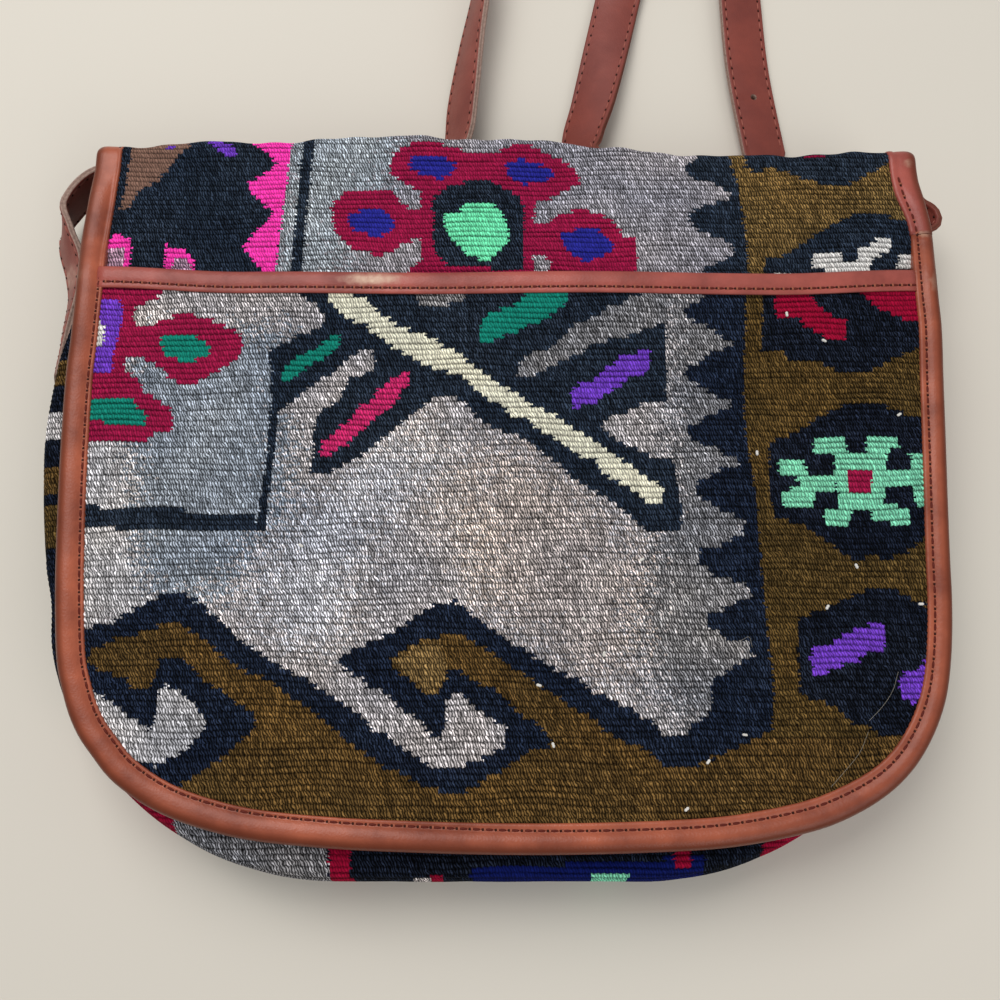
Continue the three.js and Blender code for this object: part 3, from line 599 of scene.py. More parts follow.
# %% Yarns: colour and how uneven the spinning is
YARNS = {
    "coal": ("#1a212b", 0.66),
    "jet": ("#0d111a", 0.80),
    "navy": ("#121824", 0.72),
    "ash": ("#79767b", 0.62),
    "stone": ("#898484", 0.7),
    "slate": ("#70767e", 0.62),
    "iron": ("#5e5d5f", 0.76),
    "bone": ("#9a9797", 0.60),
    "pearl": ("#949397", 0.66),
    "sand": ("#8f8580", 0.7),
    "mist": ("#7a8086", 0.62),
    "heather": ("#97788a", 0.55),
    "chalk": ("#cfccc7", 0.26),
    "cream": ("#d0ccb6", 0.28),
    "taupe": ("#775a4d", 0.22),
    "olive": ("#413219", 0.6),
    "moss": ("#47351b", 0.62),
    "gold": ("#524125", 0.62),
    "honey": ("#665131", 0.62),
    "crimson": ("#8d173d", 0.22),
    "red": ("#8c0c2d", 0.18),
    "pink": ("#b8285f", 0.28),
    "magenta": ("#f23ba6", 0.18),
    "violet": ("#683ab0", 0.26),
    "blue": ("#262884", 0.18),
    "indigo": ("#0c1650", 0.20),
    "green": ("#157a69", 0.18),
    "mint": ("#6bd8a4", 0.22),
    "sage": ("#74c09e", 0.28),
}
YARN_NAMES = list(YARNS)
YARN_COLOURS = np.array([linear(code)[:3] + (uneven,) for code, uneven in YARNS.values()])
print("yarns:", len(YARNS))


# %% Which yarn a loop takes
def inside(outline, across, down):
    """Which places lie inside a closed outline."""
    hit = np.zeros(np.shape(across), bool)
    ax, ay = outline[-1]
    for bx, by in outline:
        if ay != by:
            crossing = (ay > down) != (by > down)
            hit ^= crossing & (across < (bx - ax) * (down - ay) / (by - ay) + ax)
        ax, ay = bx, by
    return hit


WEAVE_SEED = 11
RIB_STRAY, LOOP_STRAY = 0.9, 0.25


def weave(motifs, across, down):
    """The yarn of each loop: the last motif that covers it. A rib begins a motif a little early or late. A
    third entry is how far two yarns of nearly one colour run into each other."""
    chance = np.random.default_rng(WEAVE_SEED)
    across, down = np.broadcast_arrays(across, down)
    across = across + chance.normal(0, RIB_STRAY, (len(across), 1))
    across = across + chance.normal(0, LOOP_STRAY, across.shape)
    yarn = np.zeros(np.shape(across), int)
    for name, outline, *spread in motifs:
        apart = chance.normal(0, spread[0], (2,) + across.shape) if spread else (0, 0)
        yarn[inside(trace(outline), across + apart[0], down + apart[1])] = YARN_NAMES.index(name)
    return yarn


print("a rib's motifs stray by about", RIB_STRAY, "pixels")

# %% Motifs above the pocket
SAWTOOTH_EDGE = """
    253,143 268,153 277,164 265,174 247,183 250,191 261,201 273,213 266,223 252,236 242,246 250,255
    255,263 261,266 262,276"""
FLOWER = """
    391,160 396,151 411,144 430,142 453,147 470,152 486,153 500,150 513,143 532,145 548,153 567,161
    578,172 580,183 561,191 548,198 535,202 533,222 551,220 561,212 580,209 599,212 612,220 620,228
    624,236 636,236 637,255 636,276 408,276 410,264 421,262 421,236 402,242 392,252 376,254 354,250
    338,236 332,220 332,204 344,191 367,188 392,191 403,204 421,210 421,191 405,183 391,174"""
FLOWER_HEART = "432,198 446,187 480,178 500,186 520,196 524,205 523,268 452,268 443,261 434,251"
HEART_LOZENGE = """
    444,214 444,224 450,238 460,246 466,254 476,257 485,262 494,256 500,250 506,244 510,234 507,224
    500,211 492,204 478,202 465,204 459,212"""
BUDS = [
    "410,159 427,155 446,158 456,164 454,172 440,179 424,175 411,169",
    "348,214 364,209 379,206 392,217 395,225 386,233 376,236 357,231 348,223",
    "506,164 519,158 535,161 548,166 556,174 541,180 525,183 516,182 508,174",
    "561,234 573,230 583,225 599,228 610,238 615,247 602,255 586,260 573,255 565,246",
]
UPPER_TEETH = """
    705,40 698,156 683,167 694,179 711,182 717,184 730,191 728,199 704,204 688,214 692,224 701,233
    717,235 733,245 734,255 720,262 704,268 704,278 749,278 747,242 742,204 736,179 730,156 724,40"""
UPPER_OLIVE = "724,40 730,156 736,179 742,204 747,242 749,278 980,278 980,40"
UPPER_PEAK = """
    745,40 745,157 746,166 755,171 771,167 781,171 793,174 806,182 819,183 828,187 851,183 870,172
    883,166 891,156 900,40"""
WHITE_STEPS = """
    811,255 822,252 840,250 843,263 857,265 860,247 870,246 879,239 891,238 892,249 883,255 873,257
    871,271 833,276 825,268 814,268"""
UPPER_MOTIFS = [
    ("ash", "0,0 1000,0 1000,300 0,300"),
    ("mist", "290,0 400,0 400,170 345,230 345,300 270,300", 14),
    ("coal", "0,0 300,0 292,143 275,278 0,278"),
    ("taupe", """
        131,100 188,100 188,147 179,152 171,164 159,179 147,185 137,191 132,204 126,209 120,209
        124,191 128,172 131,159"""),
    ("violet", "209,100 222,100 222,140 234,147 238,153 233,159 228,158 223,153 214,147 209,140"),
    ("violet", "166,141 175,141 174,147 166,146"),
    ("magenta", f"258,60 {SAWTOOTH_EDGE} 275,276 281,223 287,179 292,143 298,60"),
    ("coal", "307,40 303,143 290,278 301,278 314,143 318,40"),
    ("magenta", "115,235 123,236 131,241 131,252 129,270 105,270 108,240"),
    ("heather", "112,247 121,246 125,252 122,270 105,270 106,250"),
    ("magenta", "166,245 182,247 191,255 199,278 164,278"),
    ("heather", "172,261 183,255 191,265 193,278 172,278"),
    ("crimson", FLOWER),
    ("ash", "533,258 545,257 551,263 549,276 537,276"),
    ("coal", FLOWER_HEART),
    ("mint", HEART_LOZENGE),
    *[("blue", bud) for bud in BUDS],
    ("gold", UPPER_OLIVE),
    ("coal", UPPER_TEETH),
    ("coal", UPPER_PEAK),
    ("crimson", "806,150 825,150 825,158 806,158"),
    ("coal", """
        765,278 765,258 781,255 797,246 812,236 835,223 854,215 867,212 883,214 899,220 935,221
        940,278"""),
    ("chalk", WHITE_STEPS),
    ("chalk", "900,255 940,248 940,267 897,267"),
    ("chalk", "777,270 801,271 801,275 777,275"),
]
print("motifs above the pocket:", len(UPPER_MOTIFS))

# %% Motifs on the pocket: ground, left flower and branch
LEFT_FLOWER = """
    60,280 163,285 163,293 153,298 137,305 132,314 137,326 147,326 159,320 179,314 198,316 217,322
    230,328 239,333 244,348 238,360 223,367 210,373 195,381 179,381 167,376 163,367 140,357 128,356
    124,367 125,371 137,380 142,390 156,398 169,407 174,415 172,429 156,432 147,440 128,443 105,445
    60,442"""
LEFT_BUDS = [
    "158,340 166,333 185,332 201,338 210,344 212,352 198,357 191,363 179,359 166,354",
    "80,403 102,397 118,397 132,400 136,408 148,415 145,423 129,427 105,424 80,418",
]
BRANCH = """
    301,285 301,297 316,301 319,308 325,314 322,323 320,327 297,335 291,341 277,348 270,351 271,383
    270,412 317,420 315,424 312,459 309,475 319,475 330,472 338,469 348,462 354,459 364,453 373,445
    383,437 392,430 397,424 411,415 421,407 430,400 446,397 459,400 469,408 475,415 485,424 500,431
    519,437 529,443 541,453 557,462 570,475 583,485 599,494 610,500 618,506 628,513 640,524 653,530
    682,530 682,505 677,478 672,459 653,456 640,450 628,445 618,439 604,429 602,426 605,418 621,413
    637,408 640,404 667,402 666,322 663,300 640,285"""
CREAM_STRIPE = """
    330,285 365,297 383,316 399,327 418,333 434,338 446,348 461,354 472,367 488,376 500,385 516,391
    522,399 535,407 554,413 567,424 583,432 596,440 608,450 621,459 637,469 650,478 663,485 663,500
    651,503 643,497 634,489 618,481 602,472 596,459 583,456 567,446 554,437 538,430 529,421 513,418
    500,404 485,399 472,386 459,376 440,371 430,367 418,360 408,354 395,348 383,338 370,330 367,322
    351,319 338,309 328,298"""
LEFT_GREEN_LEAF = """
    282,371 289,364 297,356 309,351 319,346 328,336 340,333 341,344 332,351 322,359 309,364 303,371
    293,376 289,384 282,381"""
LEFT_GREY_LEAF = """
    278,412 288,404 300,395 309,389 320,379 330,375 343,364 352,354 367,349 373,349 375,360 373,371
    364,373 348,379 344,392 335,403 322,411 316,422"""
PINK_LEAF = """
    320,453 322,443 332,437 341,427 352,418 360,405 371,399 379,387 391,378 403,371 408,371 410,379
    403,389 395,399 387,408 376,415 367,424 357,434 348,443 335,450 328,458 320,456"""
RIGHT_GREEN_LEAF = """
    480,342 480,328 483,320 488,314 500,309 516,303 529,290 568,290 567,301 554,312 541,319 525,325
    513,333 500,336 492,342"""
RIGHT_GREY_LEAF = """
    524,357 535,349 551,346 561,338 569,328 580,320 596,319 605,309 620,308 631,295 668,290 668,320
    659,324 650,328 637,332 624,338 608,341 592,344 583,352 570,357 551,365 541,370 529,376 519,376
    517,371"""
VIOLET_LEAF = """
    570,397 572,391 583,379 599,378 600,370 615,364 621,354 637,352 650,351 651,367 645,373 637,378
    624,379 618,387 605,392 596,400 583,405 573,405"""
BRANCH_MOTIFS = [
    ("stone", "0,260 1000,260 1000,1000 0,1000"),
    # The pearl, sand, slate, bone and iron fields are partly the wool's own uneven colour and partly painted
    # light: the uneven brightness and warmth of the light across the pocket, painted into the ground.
    ("pearl", """
        262,560 300,505 350,480 375,430 425,425 430,465 390,510 350,570 350,640 300,650 255,620""", 18),
    ("sand", "465,455 540,455 600,500 650,560 645,640 610,700 560,680 500,620 465,540", 24),
    ("slate", "132,340 290,330 285,512 262,525 222,600 150,600 125,560 128,470", 14),
    ("bone", "60,440 128,440 128,560 160,600 60,640", 10),
    ("iron", "664,285 760,285 770,720 700,760 640,640 655,560 668,480", 14),
    ("crimson", LEFT_FLOWER),
    *[("green", bud) for bud in LEFT_BUDS],
    ("violet", "104,300 121,301 123,309 120,325 116,344 113,360 112,371 85,371 90,300"),
    ("chalk", "90,322 105,322 104,335 102,344 90,348"),
    ("coal", "270,405 279,410 275,446 268,500 266,532 255,532 260,500 268,446"),
    ("coal", "60,504 128,507 191,511 256,511 256,532 191,530 128,529 60,523"),
    ("coal", BRANCH),
    ("stone", LEFT_GREY_LEAF),
    ("iron", "411,285 470,285 462,303 450,303 437,308 424,309 418,303"),
    ("cream", CREAM_STRIPE),
    ("green", LEFT_GREEN_LEAF),
    ("pink", PINK_LEAF),
    ("green", RIGHT_GREEN_LEAF),
    ("iron", RIGHT_GREY_LEAF),
    ("violet", VIOLET_LEAF),
]
print("motifs round the branch:", len(BRANCH_MOTIFS))

# %% Motifs on the pocket: hooks along the bottom
HOOK_ONE_TOP = """
    60,640 82,631 96,624 112,621 128,610 143,604 156,597 169,592 182,594 191,599 204,607 212,618
    220,620 228,629 238,640 252,648 261,655 271,663 284,669 295,674 308,679 320,687 332,695 344,704
    354,712 367,720 371,728 386,733 395,741 405,749 415,755 424,761 430,766 446,768 459,771 462,766
    475,763 488,755 500,750 506,742"""
HOOK_TWO = """
    338,656 348,651 360,645 376,640 389,634 402,628 411,621 424,613 437,604 456,601 466,608 475,615
    485,624 500,634 513,645 529,650 538,658 548,663 564,672 580,679 592,691 605,696 621,704 634,710
    643,718 656,723 663,736 675,739 688,736 691,728 704,720 712,714 712,780 500,780 506,742 506,727
    500,728 491,720 482,714 472,707 462,696 446,698 446,710 445,730 440,741 427,730 421,720 411,714
    399,707 392,698 383,691 367,685 363,679 351,672 340,664"""
OLIVE_HOOKS = """
    160,860 174,787 185,781 198,774 207,768 217,761 226,755 234,746 246,738 254,730 255,720 252,712
    239,707 230,698 220,688 204,682 195,671 185,661 172,656 159,661 156,675 151,685 143,691 131,690
    128,680 115,674 99,669 88,663 89,651 102,645 115,637 134,634 147,628 166,624 185,626 191,634
    204,640 217,651 226,659 236,666 249,675 265,680 277,687 287,695 300,702 313,712 323,720 335,730
    346,741 357,749 370,755 383,765 399,771 408,776 418,784 430,787 443,792 456,795 466,790 478,784
    488,776 500,772 510,765 519,760 529,752 541,749 553,745 548,733 538,723 526,717 516,710 510,704
    500,693 491,688 478,685 469,679 456,667 448,669 445,679 440,691 430,696 418,688 411,679 399,674
    391,666 391,661 402,653 415,645 430,639 446,636 466,636 475,643 488,650 500,658 513,669 526,674
    538,683 551,691 564,699 570,707 583,712 596,720 605,730 618,736 628,742 643,747 653,755 663,765
    669,770 691,770 698,766 710,760 717,752 726,747 742,739 755,734 771,730 960,720 960,880"""
HOOK_TWO_GOLD = "392,662 415,647 440,642 447,668 440,690 430,695 412,680"
HOOK_ONE_GREY = """
    80,690 94,691 105,698 118,707 128,717 140,723 150,730 153,723 156,710 159,691 166,685 177,688
    188,698 196,704 198,712 206,717 204,730 195,739 188,746 179,752 166,758 156,765 143,762 120,768
    80,740"""
HOOK_MOTIFS = [
    ("navy", HOOK_TWO),
    ("navy", f"{HOOK_ONE_TOP} 520,745 712,770 960,770 960,880 40,880 40,640"),
    ("moss", OLIVE_HOOKS),
    ("bone", HOOK_ONE_GREY),
    ("honey", HOOK_TWO_GOLD, 2),
]
print("motifs of the hooks:", len(HOOK_MOTIFS))

# %% Motifs on the pocket: the right border
BORDER_TEETH = """
    704,285 704,297 685,306 683,312 691,319 699,322 712,328 720,336 733,338 734,346 717,348 707,354
    699,364 688,367 683,373 688,379 701,387 714,392 717,397 730,399 730,407 720,411 707,416 698,423
    688,426 688,435 695,442 707,446 720,450 723,456 736,458 738,466 723,469 710,477 698,482 695,488
    697,496 708,503 720,511 745,519 744,533 726,541 717,546 701,548 698,554 699,562 707,565 714,575
    730,577 734,583 750,585 752,596 742,600 728,604 720,610 709,612 707,620 709,626 720,631 726,639
    736,643 749,643 753,656 742,661 730,669 720,677 714,678 713,682 712,707 709,717 701,723 712,760
    771,730 775,691 769,643 765,605 760,548 757,500 747,446 744,402 745,351 746,285"""
BORDER_OLIVE = """
    742,285 741,351 740,402 743,446 753,500 756,548 761,605 765,643 770,691 765,735 980,735 980,285"""
TOP_OCTAGON = """
    763,285 762,348 781,348 787,357 793,362 819,362 832,367 838,373 860,375 879,368 892,360 905,354
    918,348 950,330 950,285"""
STAR_OCTAGON = """
    768,446 777,437 793,432 806,424 819,416 832,410 851,403 870,403 886,407 899,411 911,416 950,420
    950,530 927,538 915,546 905,553 892,557 870,556 851,557 838,549 828,541 816,535 806,527 793,522
    776,521 771,500"""
LOW_OCTAGON = """
    798,620 809,615 822,610 835,604 848,599 860,592 879,588 899,591 915,599 950,610 950,700 908,738
    892,739 879,734 867,726 851,722 841,712 835,707 819,701 801,695 798,660"""
TOP_RED_BARS = [
    """
        774,290 803,290 814,300 819,308 828,314 838,319 846,320 846,340 832,341 819,335 806,328
        800,320 777,319""",
    "855,285 935,285 935,322 911,322 899,316 886,309 876,305",
]
STAR_ARMS = [
    "835,453 886,452 886,490 884,507 840,507 839,490 834,475",
    "814,438 846,437 847,458 835,458 835,454 814,454",
    "867,436 899,435 899,449 890,450 886,458 867,458",
    "797,473 836,473 836,489 802,489",
    "779,456 803,456 808,474 797,478 791,473 779,472",
    "803,486 815,486 815,505 784,507 781,490",
    "884,472 935,470 935,489 884,489",
    "911,455 940,453 940,473 911,473",
    "913,487 940,487 940,506 917,506",
    "840,505 850,506 852,518 848,523 826,524 823,508",
    "870,505 893,502 897,506 908,507 912,521 909,525 873,520",
]
STAR_CENTRE = "848,471 872,471 872,490 849,491"
LOW_VIOLET_BARS = [
    """
        811,659 814,648 828,647 840,639 854,631 867,629 870,624 884,624 886,640 884,653 867,655
        857,663 844,666 835,672 825,674 819,679 813,677""",
    "899,674 915,672 921,666 927,656 945,656 940,690 915,704 902,702",
]
POCKET_MOTIFS = [
    *BRANCH_MOTIFS,
    *HOOK_MOTIFS,
    ("olive", BORDER_OLIVE),
    ("navy", BORDER_TEETH),
    *[("jet", octagon) for octagon in (TOP_OCTAGON, STAR_OCTAGON, LOW_OCTAGON)],
    *[("red", bar) for bar in TOP_RED_BARS],
    *[("sage", arm) for arm in STAR_ARMS],
    ("crimson", STAR_CENTRE),
    *[("violet", bar) for bar in LOW_VIOLET_BARS],
]
print("motifs on the pocket:", len(POCKET_MOTIFS))

# %% [markdown]
# ## Woven cloth
# A kilim is weft-faced: the ribs are the hidden warps, 2.3 mm apart, wrapped by coloured weft. Displacement
# could raise them at render time, but then a mesh export would be flat. So each rib is real: a groove and
# two points on its back. Cloth whose edge is bound in leather is simply cut a little inside the binding.

# %% Meshes from grids
def make_piece(name, points, faces, material):
    """A mesh object at the origin, from millimetre points."""
    mesh = bpy.data.meshes.new(name)
    mesh.from_pydata((np.asarray(points, float) * MM).tolist(), [], [list(map(int, f)) for f in faces])
    mesh.materials.append(material)
    mesh.polygons.foreach_set("use_smooth", np.ones(len(mesh.polygons), bool))
    mesh.update()
    return put(name, mesh)


def grid_faces(rows, columns, keep=True):
    """The quads of a grid, facing up where rows run to +Y and columns to +X. keep says which of them stay."""
    row, column = np.meshgrid(np.arange(rows - 1), np.arange(columns - 1), indexing="ij")
    first = row * columns + column
    quads = np.stack([first, first + 1, first + columns + 1, first + columns], -1)
    return quads[np.broadcast_to(keep, first.shape)]


def used_only(points, faces):
    """The points of a grid that its faces use, and the faces numbered to match."""
    used, numbered = np.unique(faces, return_inverse=True)
    return points.reshape(-1, 3)[used], numbered.reshape(faces.shape)


print("faces of a grid of 3 by 4 points:", len(grid_faces(3, 4)))

# %% A woven sheet
TOOTH = 0.26
LONG_WANDER, SHORT_WANDER = 0.45, 0.3


def woven_piece(name, points, yarn, loops, ribs, keep=True):
    """A kilim sheet from a grid of points, with the yarn of every face and the weave's own coordinates.
    Ribs wander a little, and their loops bite into each other, so the grooves between them are toothed."""
    rows, columns = points.shape[:2]
    number = np.round(np.broadcast_to(ribs, (rows, columns)))
    groove = np.abs(number - ribs) < TINY
    tooth = TOOTH * np.where((number + np.arange(columns)) % 2 == 0, 1, -1) * groove
    wander = LONG_WANDER * np.sin(loops / 11 + ribs / 9) + SHORT_WANDER * np.sin(loops / 6.1 - ribs / 5 + 1)
    bent = tooth + wander
    bent[[0, -1]] = 0
    points = points + unit(np.gradient(points, axis=0)) * bent[..., None]
    quads = grid_faces(rows, columns, keep)
    piece = make_piece(name, *used_only(points, quads), WOOL)
    colours = YARN_COLOURS[yarn[np.broadcast_to(keep, yarn.shape)]]
    piece.data.attributes.new("wool", "FLOAT_COLOR", "FACE").data.foreach_set("color", colours.reshape(-1))
    uv = np.stack(np.broadcast_arrays(loops, ribs), -1).reshape(-1, 2)[quads]
    piece.data.uv_layers.new(name="weave").data.foreach_set("uv", uv.reshape(-1))
    print(name, len(quads), "faces")
    return piece


RIB_PHASES = np.array([0.0, 0.34, 0.66])
RIB_RISE = np.array([-0.62, 0.34, 0.34])


def rib_rows(first, last):
    """Places along the weave of each rib's groove and two back points, their rise and the rib's number."""
    count = int(round((last - first) / RIB))
    place = np.append((np.arange(count)[:, None] + RIB_PHASES).reshape(-1), count)
    rise = np.append(np.tile(RIB_RISE, count), RIB_RISE[0]) * RIB_HEIGHT
    return first + place * RIB, rise, place


def cell_middles(grid):
    """The middle of every quad of a grid."""
    return (grid[:-1, :-1] + grid[1:, :-1] + grid[:-1, 1:] + grid[1:, 1:]) / 4


def rib_middle(values, counts):
    """A row value moved to the middle of the rib that the row belongs to, so a rib has one yarn."""
    middle = np.floor(counts[:-1] + TINY) + 0.5
    return np.interp(middle, counts, values)


print("ribs", RIB, "mm apart, loops", LOOP, "mm wide")

# %% [markdown]
# ## The flap's cloth
# The flap and the top of the back are one length of kilim that turns over the bag's top edge. The fold is
# soft, so it wanders: it is fullest left of the middle and flattest at the right. The cloth is one sheet from
# the flap, over the fold and down the wall.

# %% The fold along the top
FOLD_X = [-185, -165, -149, -119, -92, -75, -53, -22, 22, 44, 79, 127, 171, 190]
FOLD_Y = [161.8, 162.8, 163.8, 166, 164.8, 167.4, 168.6, 167, 166, 162.8, 159, 158.8, 160.4, 160]
FOLD_BLUR = (-8, -4, 0, 4, 8)
FOLD_RADIUS = 5.5
WALL_FACE = 158.4
WALL_LEAN_RUN = 13.0
STRIP_START = 80.0


def fold_line(x):
    """How far the fold reaches towards +Y at x, rounded off between its high places and puckered."""
    x = np.asarray(x, float)
    pucker = (0.45 * np.sin(x / 7.7) + 0.4 * np.sin(x / 4.1 + 1.3) * np.sin(x / 23)
              + 0.25 * np.sin(x / 2.7 + 0.6))
    return pucker + np.mean([np.interp(x + shift, FOLD_X, FOLD_Y) for shift in FOLD_BLUR], 0)


def over_fold(x, run):
    """Place and outward direction of the flap's face at a run from STRIP_START, over the fold and down the
    wall, and how far up the place would lie if the cloth were flat."""
    x, run = np.broadcast_arrays(np.asarray(x, float), np.asarray(run, float))
    turn_y = fold_line(x) - FOLD_RADIUS
    turn_z = flap_top(x, turn_y)
    flat = turn_y - STRIP_START
    quarter = FOLD_RADIUS * math.pi / 2
    angle = np.clip((run - flat) / FOLD_RADIUS, 0, math.pi / 2)
    down = np.maximum(run - flat - quarter, 0)
    y = np.where(run < flat, STRIP_START + run, turn_y + FOLD_RADIUS * np.sin(angle))
    y = y + (WALL_FACE - fold_line(x)) * ease(down, 0, WALL_LEAN_RUN)
    z = np.where(run < flat, flap_top(x, y), turn_z - FOLD_RADIUS * (1 - np.cos(angle))) - down
    outward = np.stack([np.zeros_like(x), np.sin(angle), np.cos(angle)], -1)
    laid_flat = np.where(run < flat, y, turn_y + run - flat)
    return np.stack([x, y, z], -1), outward, laid_flat


print("the fold at three places:", fold_line([FLAP_LEFT, BODY_MID, FLAP_RIGHT]).round(1))

# %% Flap cloth
CLOTH_INSET = 4.5
STRIP_RUN = 103.0
HIDDEN_STEP = 9.0
SINK = 0.4 * RIB_HEIGHT
ABOVE = 400.0
columns_x = np.arange(rim[:, 0].min() + 2, rim[:, 0].max() - 1, LOOP)[None, :]
strip_rows, strip_rise, strip_count = rib_rows(0, STRIP_RUN)
hidden_rows = np.arange(FLAP_BOTTOM + CLOTH_INSET - STRIP_START, -1, HIDDEN_STEP)
all_runs = np.concatenate([hidden_rows, strip_rows])
all_rise = np.concatenate([np.zeros(len(hidden_rows)), strip_rise])
all_ribs = np.concatenate([hidden_rows / RIB, strip_count])
surface, outward, _ = over_fold(columns_x, all_runs[:, None])
surface = surface + outward * (all_rise[:, None, None] - SINK)
_, rim_in = path_sides(rim)
cut = rim + rim_in * CLOTH_INSET
cloth_edge = [(cut[0, 0], ABOVE), *cut, (cut[-1, 0], ABOVE)]
cell_x = (columns_x[:, :-1] + columns_x[:, 1:]) / 2
cell_run = rib_middle(all_runs, all_ribs)
_, _, cell_y = over_fold(cell_x, cell_run[:, None])
cell_z = flap_top(cell_x, np.minimum(cell_y, BODY_TOP))
flap_yarn = weave(UPPER_MOTIFS, *to_photo(cell_x, cell_y, cell_z))
flap_keep = inside(cloth_edge, np.broadcast_to(cell_x, cell_y.shape), cell_y)
flap_cloth = woven_piece("flap_cloth", surface, flap_yarn, columns_x / LOOP, all_ribs[:, None], flap_keep)

# %% Pocket cloth
pocket_runs, pocket_rise, pocket_ribs = rib_rows(FLAP_BOTTOM + CLOTH_INSET, POCKET_TOP - 1)
pocket_x, pocket_y = np.broadcast_arrays(columns_x, pocket_runs[:, None])
pocket_z = pocket_top(pocket_x, pocket_y) + pocket_rise[:, None] - SINK
pocket_cell_y = rib_middle(pocket_runs, pocket_ribs)[:, None]
pocket_cell_z = pocket_top(cell_x, pocket_cell_y)
pocket_yarn = weave(POCKET_MOTIFS, *to_photo(cell_x, pocket_cell_y, pocket_cell_z))
pocket_keep = inside(cloth_edge, *np.broadcast_arrays(cell_x, pocket_cell_y))
pocket_cloth = woven_piece("pocket_cloth", np.stack([pocket_x, pocket_y, pocket_z], -1), pocket_yarn,
                           columns_x / LOOP, pocket_ribs[:, None], pocket_keep)

# %% [markdown]
# ## The body's cloth
# Front, back and gusset are three more lengths of kilim. Only a margin of the front shows past the closed
# flap, but the whole front shows when the flap is open, so all of it is woven. Its edge rolls over into the
# seam with the gusset, and its lowest rows are cut to the round bottom edge that crosses them. The back lies
# on the floor and turns up at the top into the wall that carries the flap.

# %% Body outline
ROLL = 5.0
LEAN_RUN = 75.0
SEAT_PULL, SEAT_PULL_LOW, SEAT_PULL_HIGH = 3.5, 62, 90
SIDE_BULGE, BULGE_Y, BULGE_REACH = 4.8, 30, 38
SIDE_WAIST, WAIST_Y, WAIST_REACH = 4.2, -40, 16
GUSSET_TOP = 155.0
SEAM_HIGH, SEAM_LOW = BODY_DEPTH - 4.5, 4.5


def left_slack(y):
    """How far the left side bulges out below the strap and is pulled in again below that."""
    return SIDE_WAIST * hump(y, WAIST_Y, WAIST_REACH) - SIDE_BULGE * hump(y, BULGE_Y, BULGE_REACH)


def body_edges(y):
    """Left and right edge of the body, which leans in to the flap's width near the top. On the left it is
    pulled in where the strap is sewn on."""
    half = body_half(y)
    closer = ease(y, BODY_TOP - LEAN_RUN, BODY_TOP)
    left = BODY_MID - half + closer * (FLAP_LEFT + BINDING_INSET - BODY_LEFT)
    left = left + SEAT_PULL * ease(y, SEAT_PULL_LOW, SEAT_PULL_HIGH) * (1 - closer) + left_slack(y)
    right = BODY_MID + half + closer * (FLAP_RIGHT - BINDING_INSET - BODY_RIGHT)
    return left, right


def edge_distance(x, y):
    """Distance from a place on the panel to the body's outline."""
    left, right = body_edges(y)
    middle, half = (left + right) / 2, (right - left) / 2
    beside = np.abs(x - middle) - (BODY_HALF - BODY_CORNER)
    below = BODY_BOTTOM + BODY_CORNER - y
    corner = BODY_CORNER - np.hypot(beside, below)
    plain = np.minimum(half - np.abs(x - middle), y - BODY_BOTTOM)
    return np.maximum(np.where((beside > 0) & (below > 0), corner, plain), 0)


def bottom_edge(x):
    """How low the body's outline reaches below each place across it."""
    beside = np.maximum(np.abs(x - BODY_MID) - (BODY_HALF - BODY_CORNER), 0)
    return BODY_BOTTOM + BODY_CORNER - np.sqrt(np.maximum(BODY_CORNER ** 2 - beside ** 2, 0))


def roll_over(distance):
    """How far the panel's face drops as it rolls over the seam."""
    near = np.clip(ROLL - distance, 0, ROLL)
    return ROLL - np.sqrt(np.maximum(ROLL ** 2 - near ** 2, 0))


EDGE_STEPS, EDGE_CLEAR = (0, 0.4, 1.2, 2.4, 4.0), 6


def panel_columns(count):
    """Shares of the panel's width, closer together at both edges where the cloth rolls."""
    width = BODY_RIGHT - BODY_LEFT
    edge, clear = np.array(EDGE_STEPS) / width, EDGE_CLEAR / width
    return np.concatenate([edge, np.linspace(clear, 1 - clear, count), 1 - edge[::-1]])


print("sides of the body at its mouth:", [round(float(x), 1) for x in body_edges(MOUTH_Y)])

# %% Motifs on the body
BODY_MOTIFS = [
    ("jet", "-200,-200 1200,-200 1200,1200 -200,1200"),
    ("ash", "500,330 660,470 500,610 340,470"),
    ("crimson", "500,365 620,470 500,575 380,470"),
    ("jet", "500,400 580,470 500,540 420,470"),
    ("olive", "500,430 545,470 500,510 455,470"),
    ("moss", "-200,355 60,360 100,374 60,388 -200,388"),
    ("bone", "-200,414 70,414 110,428 70,441 -200,441"),
    ("moss", "-200,466 70,466 95,480 70,494 -200,494"),
    ("olive", "-200,502 90,502 140,524 90,546 -200,546"),
    ("crimson", "930,380 870,420 930,460 1200,460 1200,380"),
    ("ash", "930,520 890,550 930,580 1200,580 1200,520"),
    ("red", "60,700 150,740 172,800 172,950 60,950"),
    ("iron", "172,740 230,700 280,740 328,780 328,950 172,950"),
    ("red", "329,740 350,740 350,950 329,950"),
    ("stone", "351,886 385,882 432,879 432,950 351,950"),
    ("red", "432,875 442,875 442,950 432,950"),
    ("indigo", "470,868 640,862 705,852 705,950 470,950"),
    ("sage", "594,877 631,876 631,950 594,950"),
    ("red", "676,790 692,790 692,866 676,866"),
    ("jet", "705,740 763,740 763,950 705,950"),
    ("red", "763,760 830,720 960,700 960,950 763,950"),
]
print("motifs on the body:", len(BODY_MOTIFS))

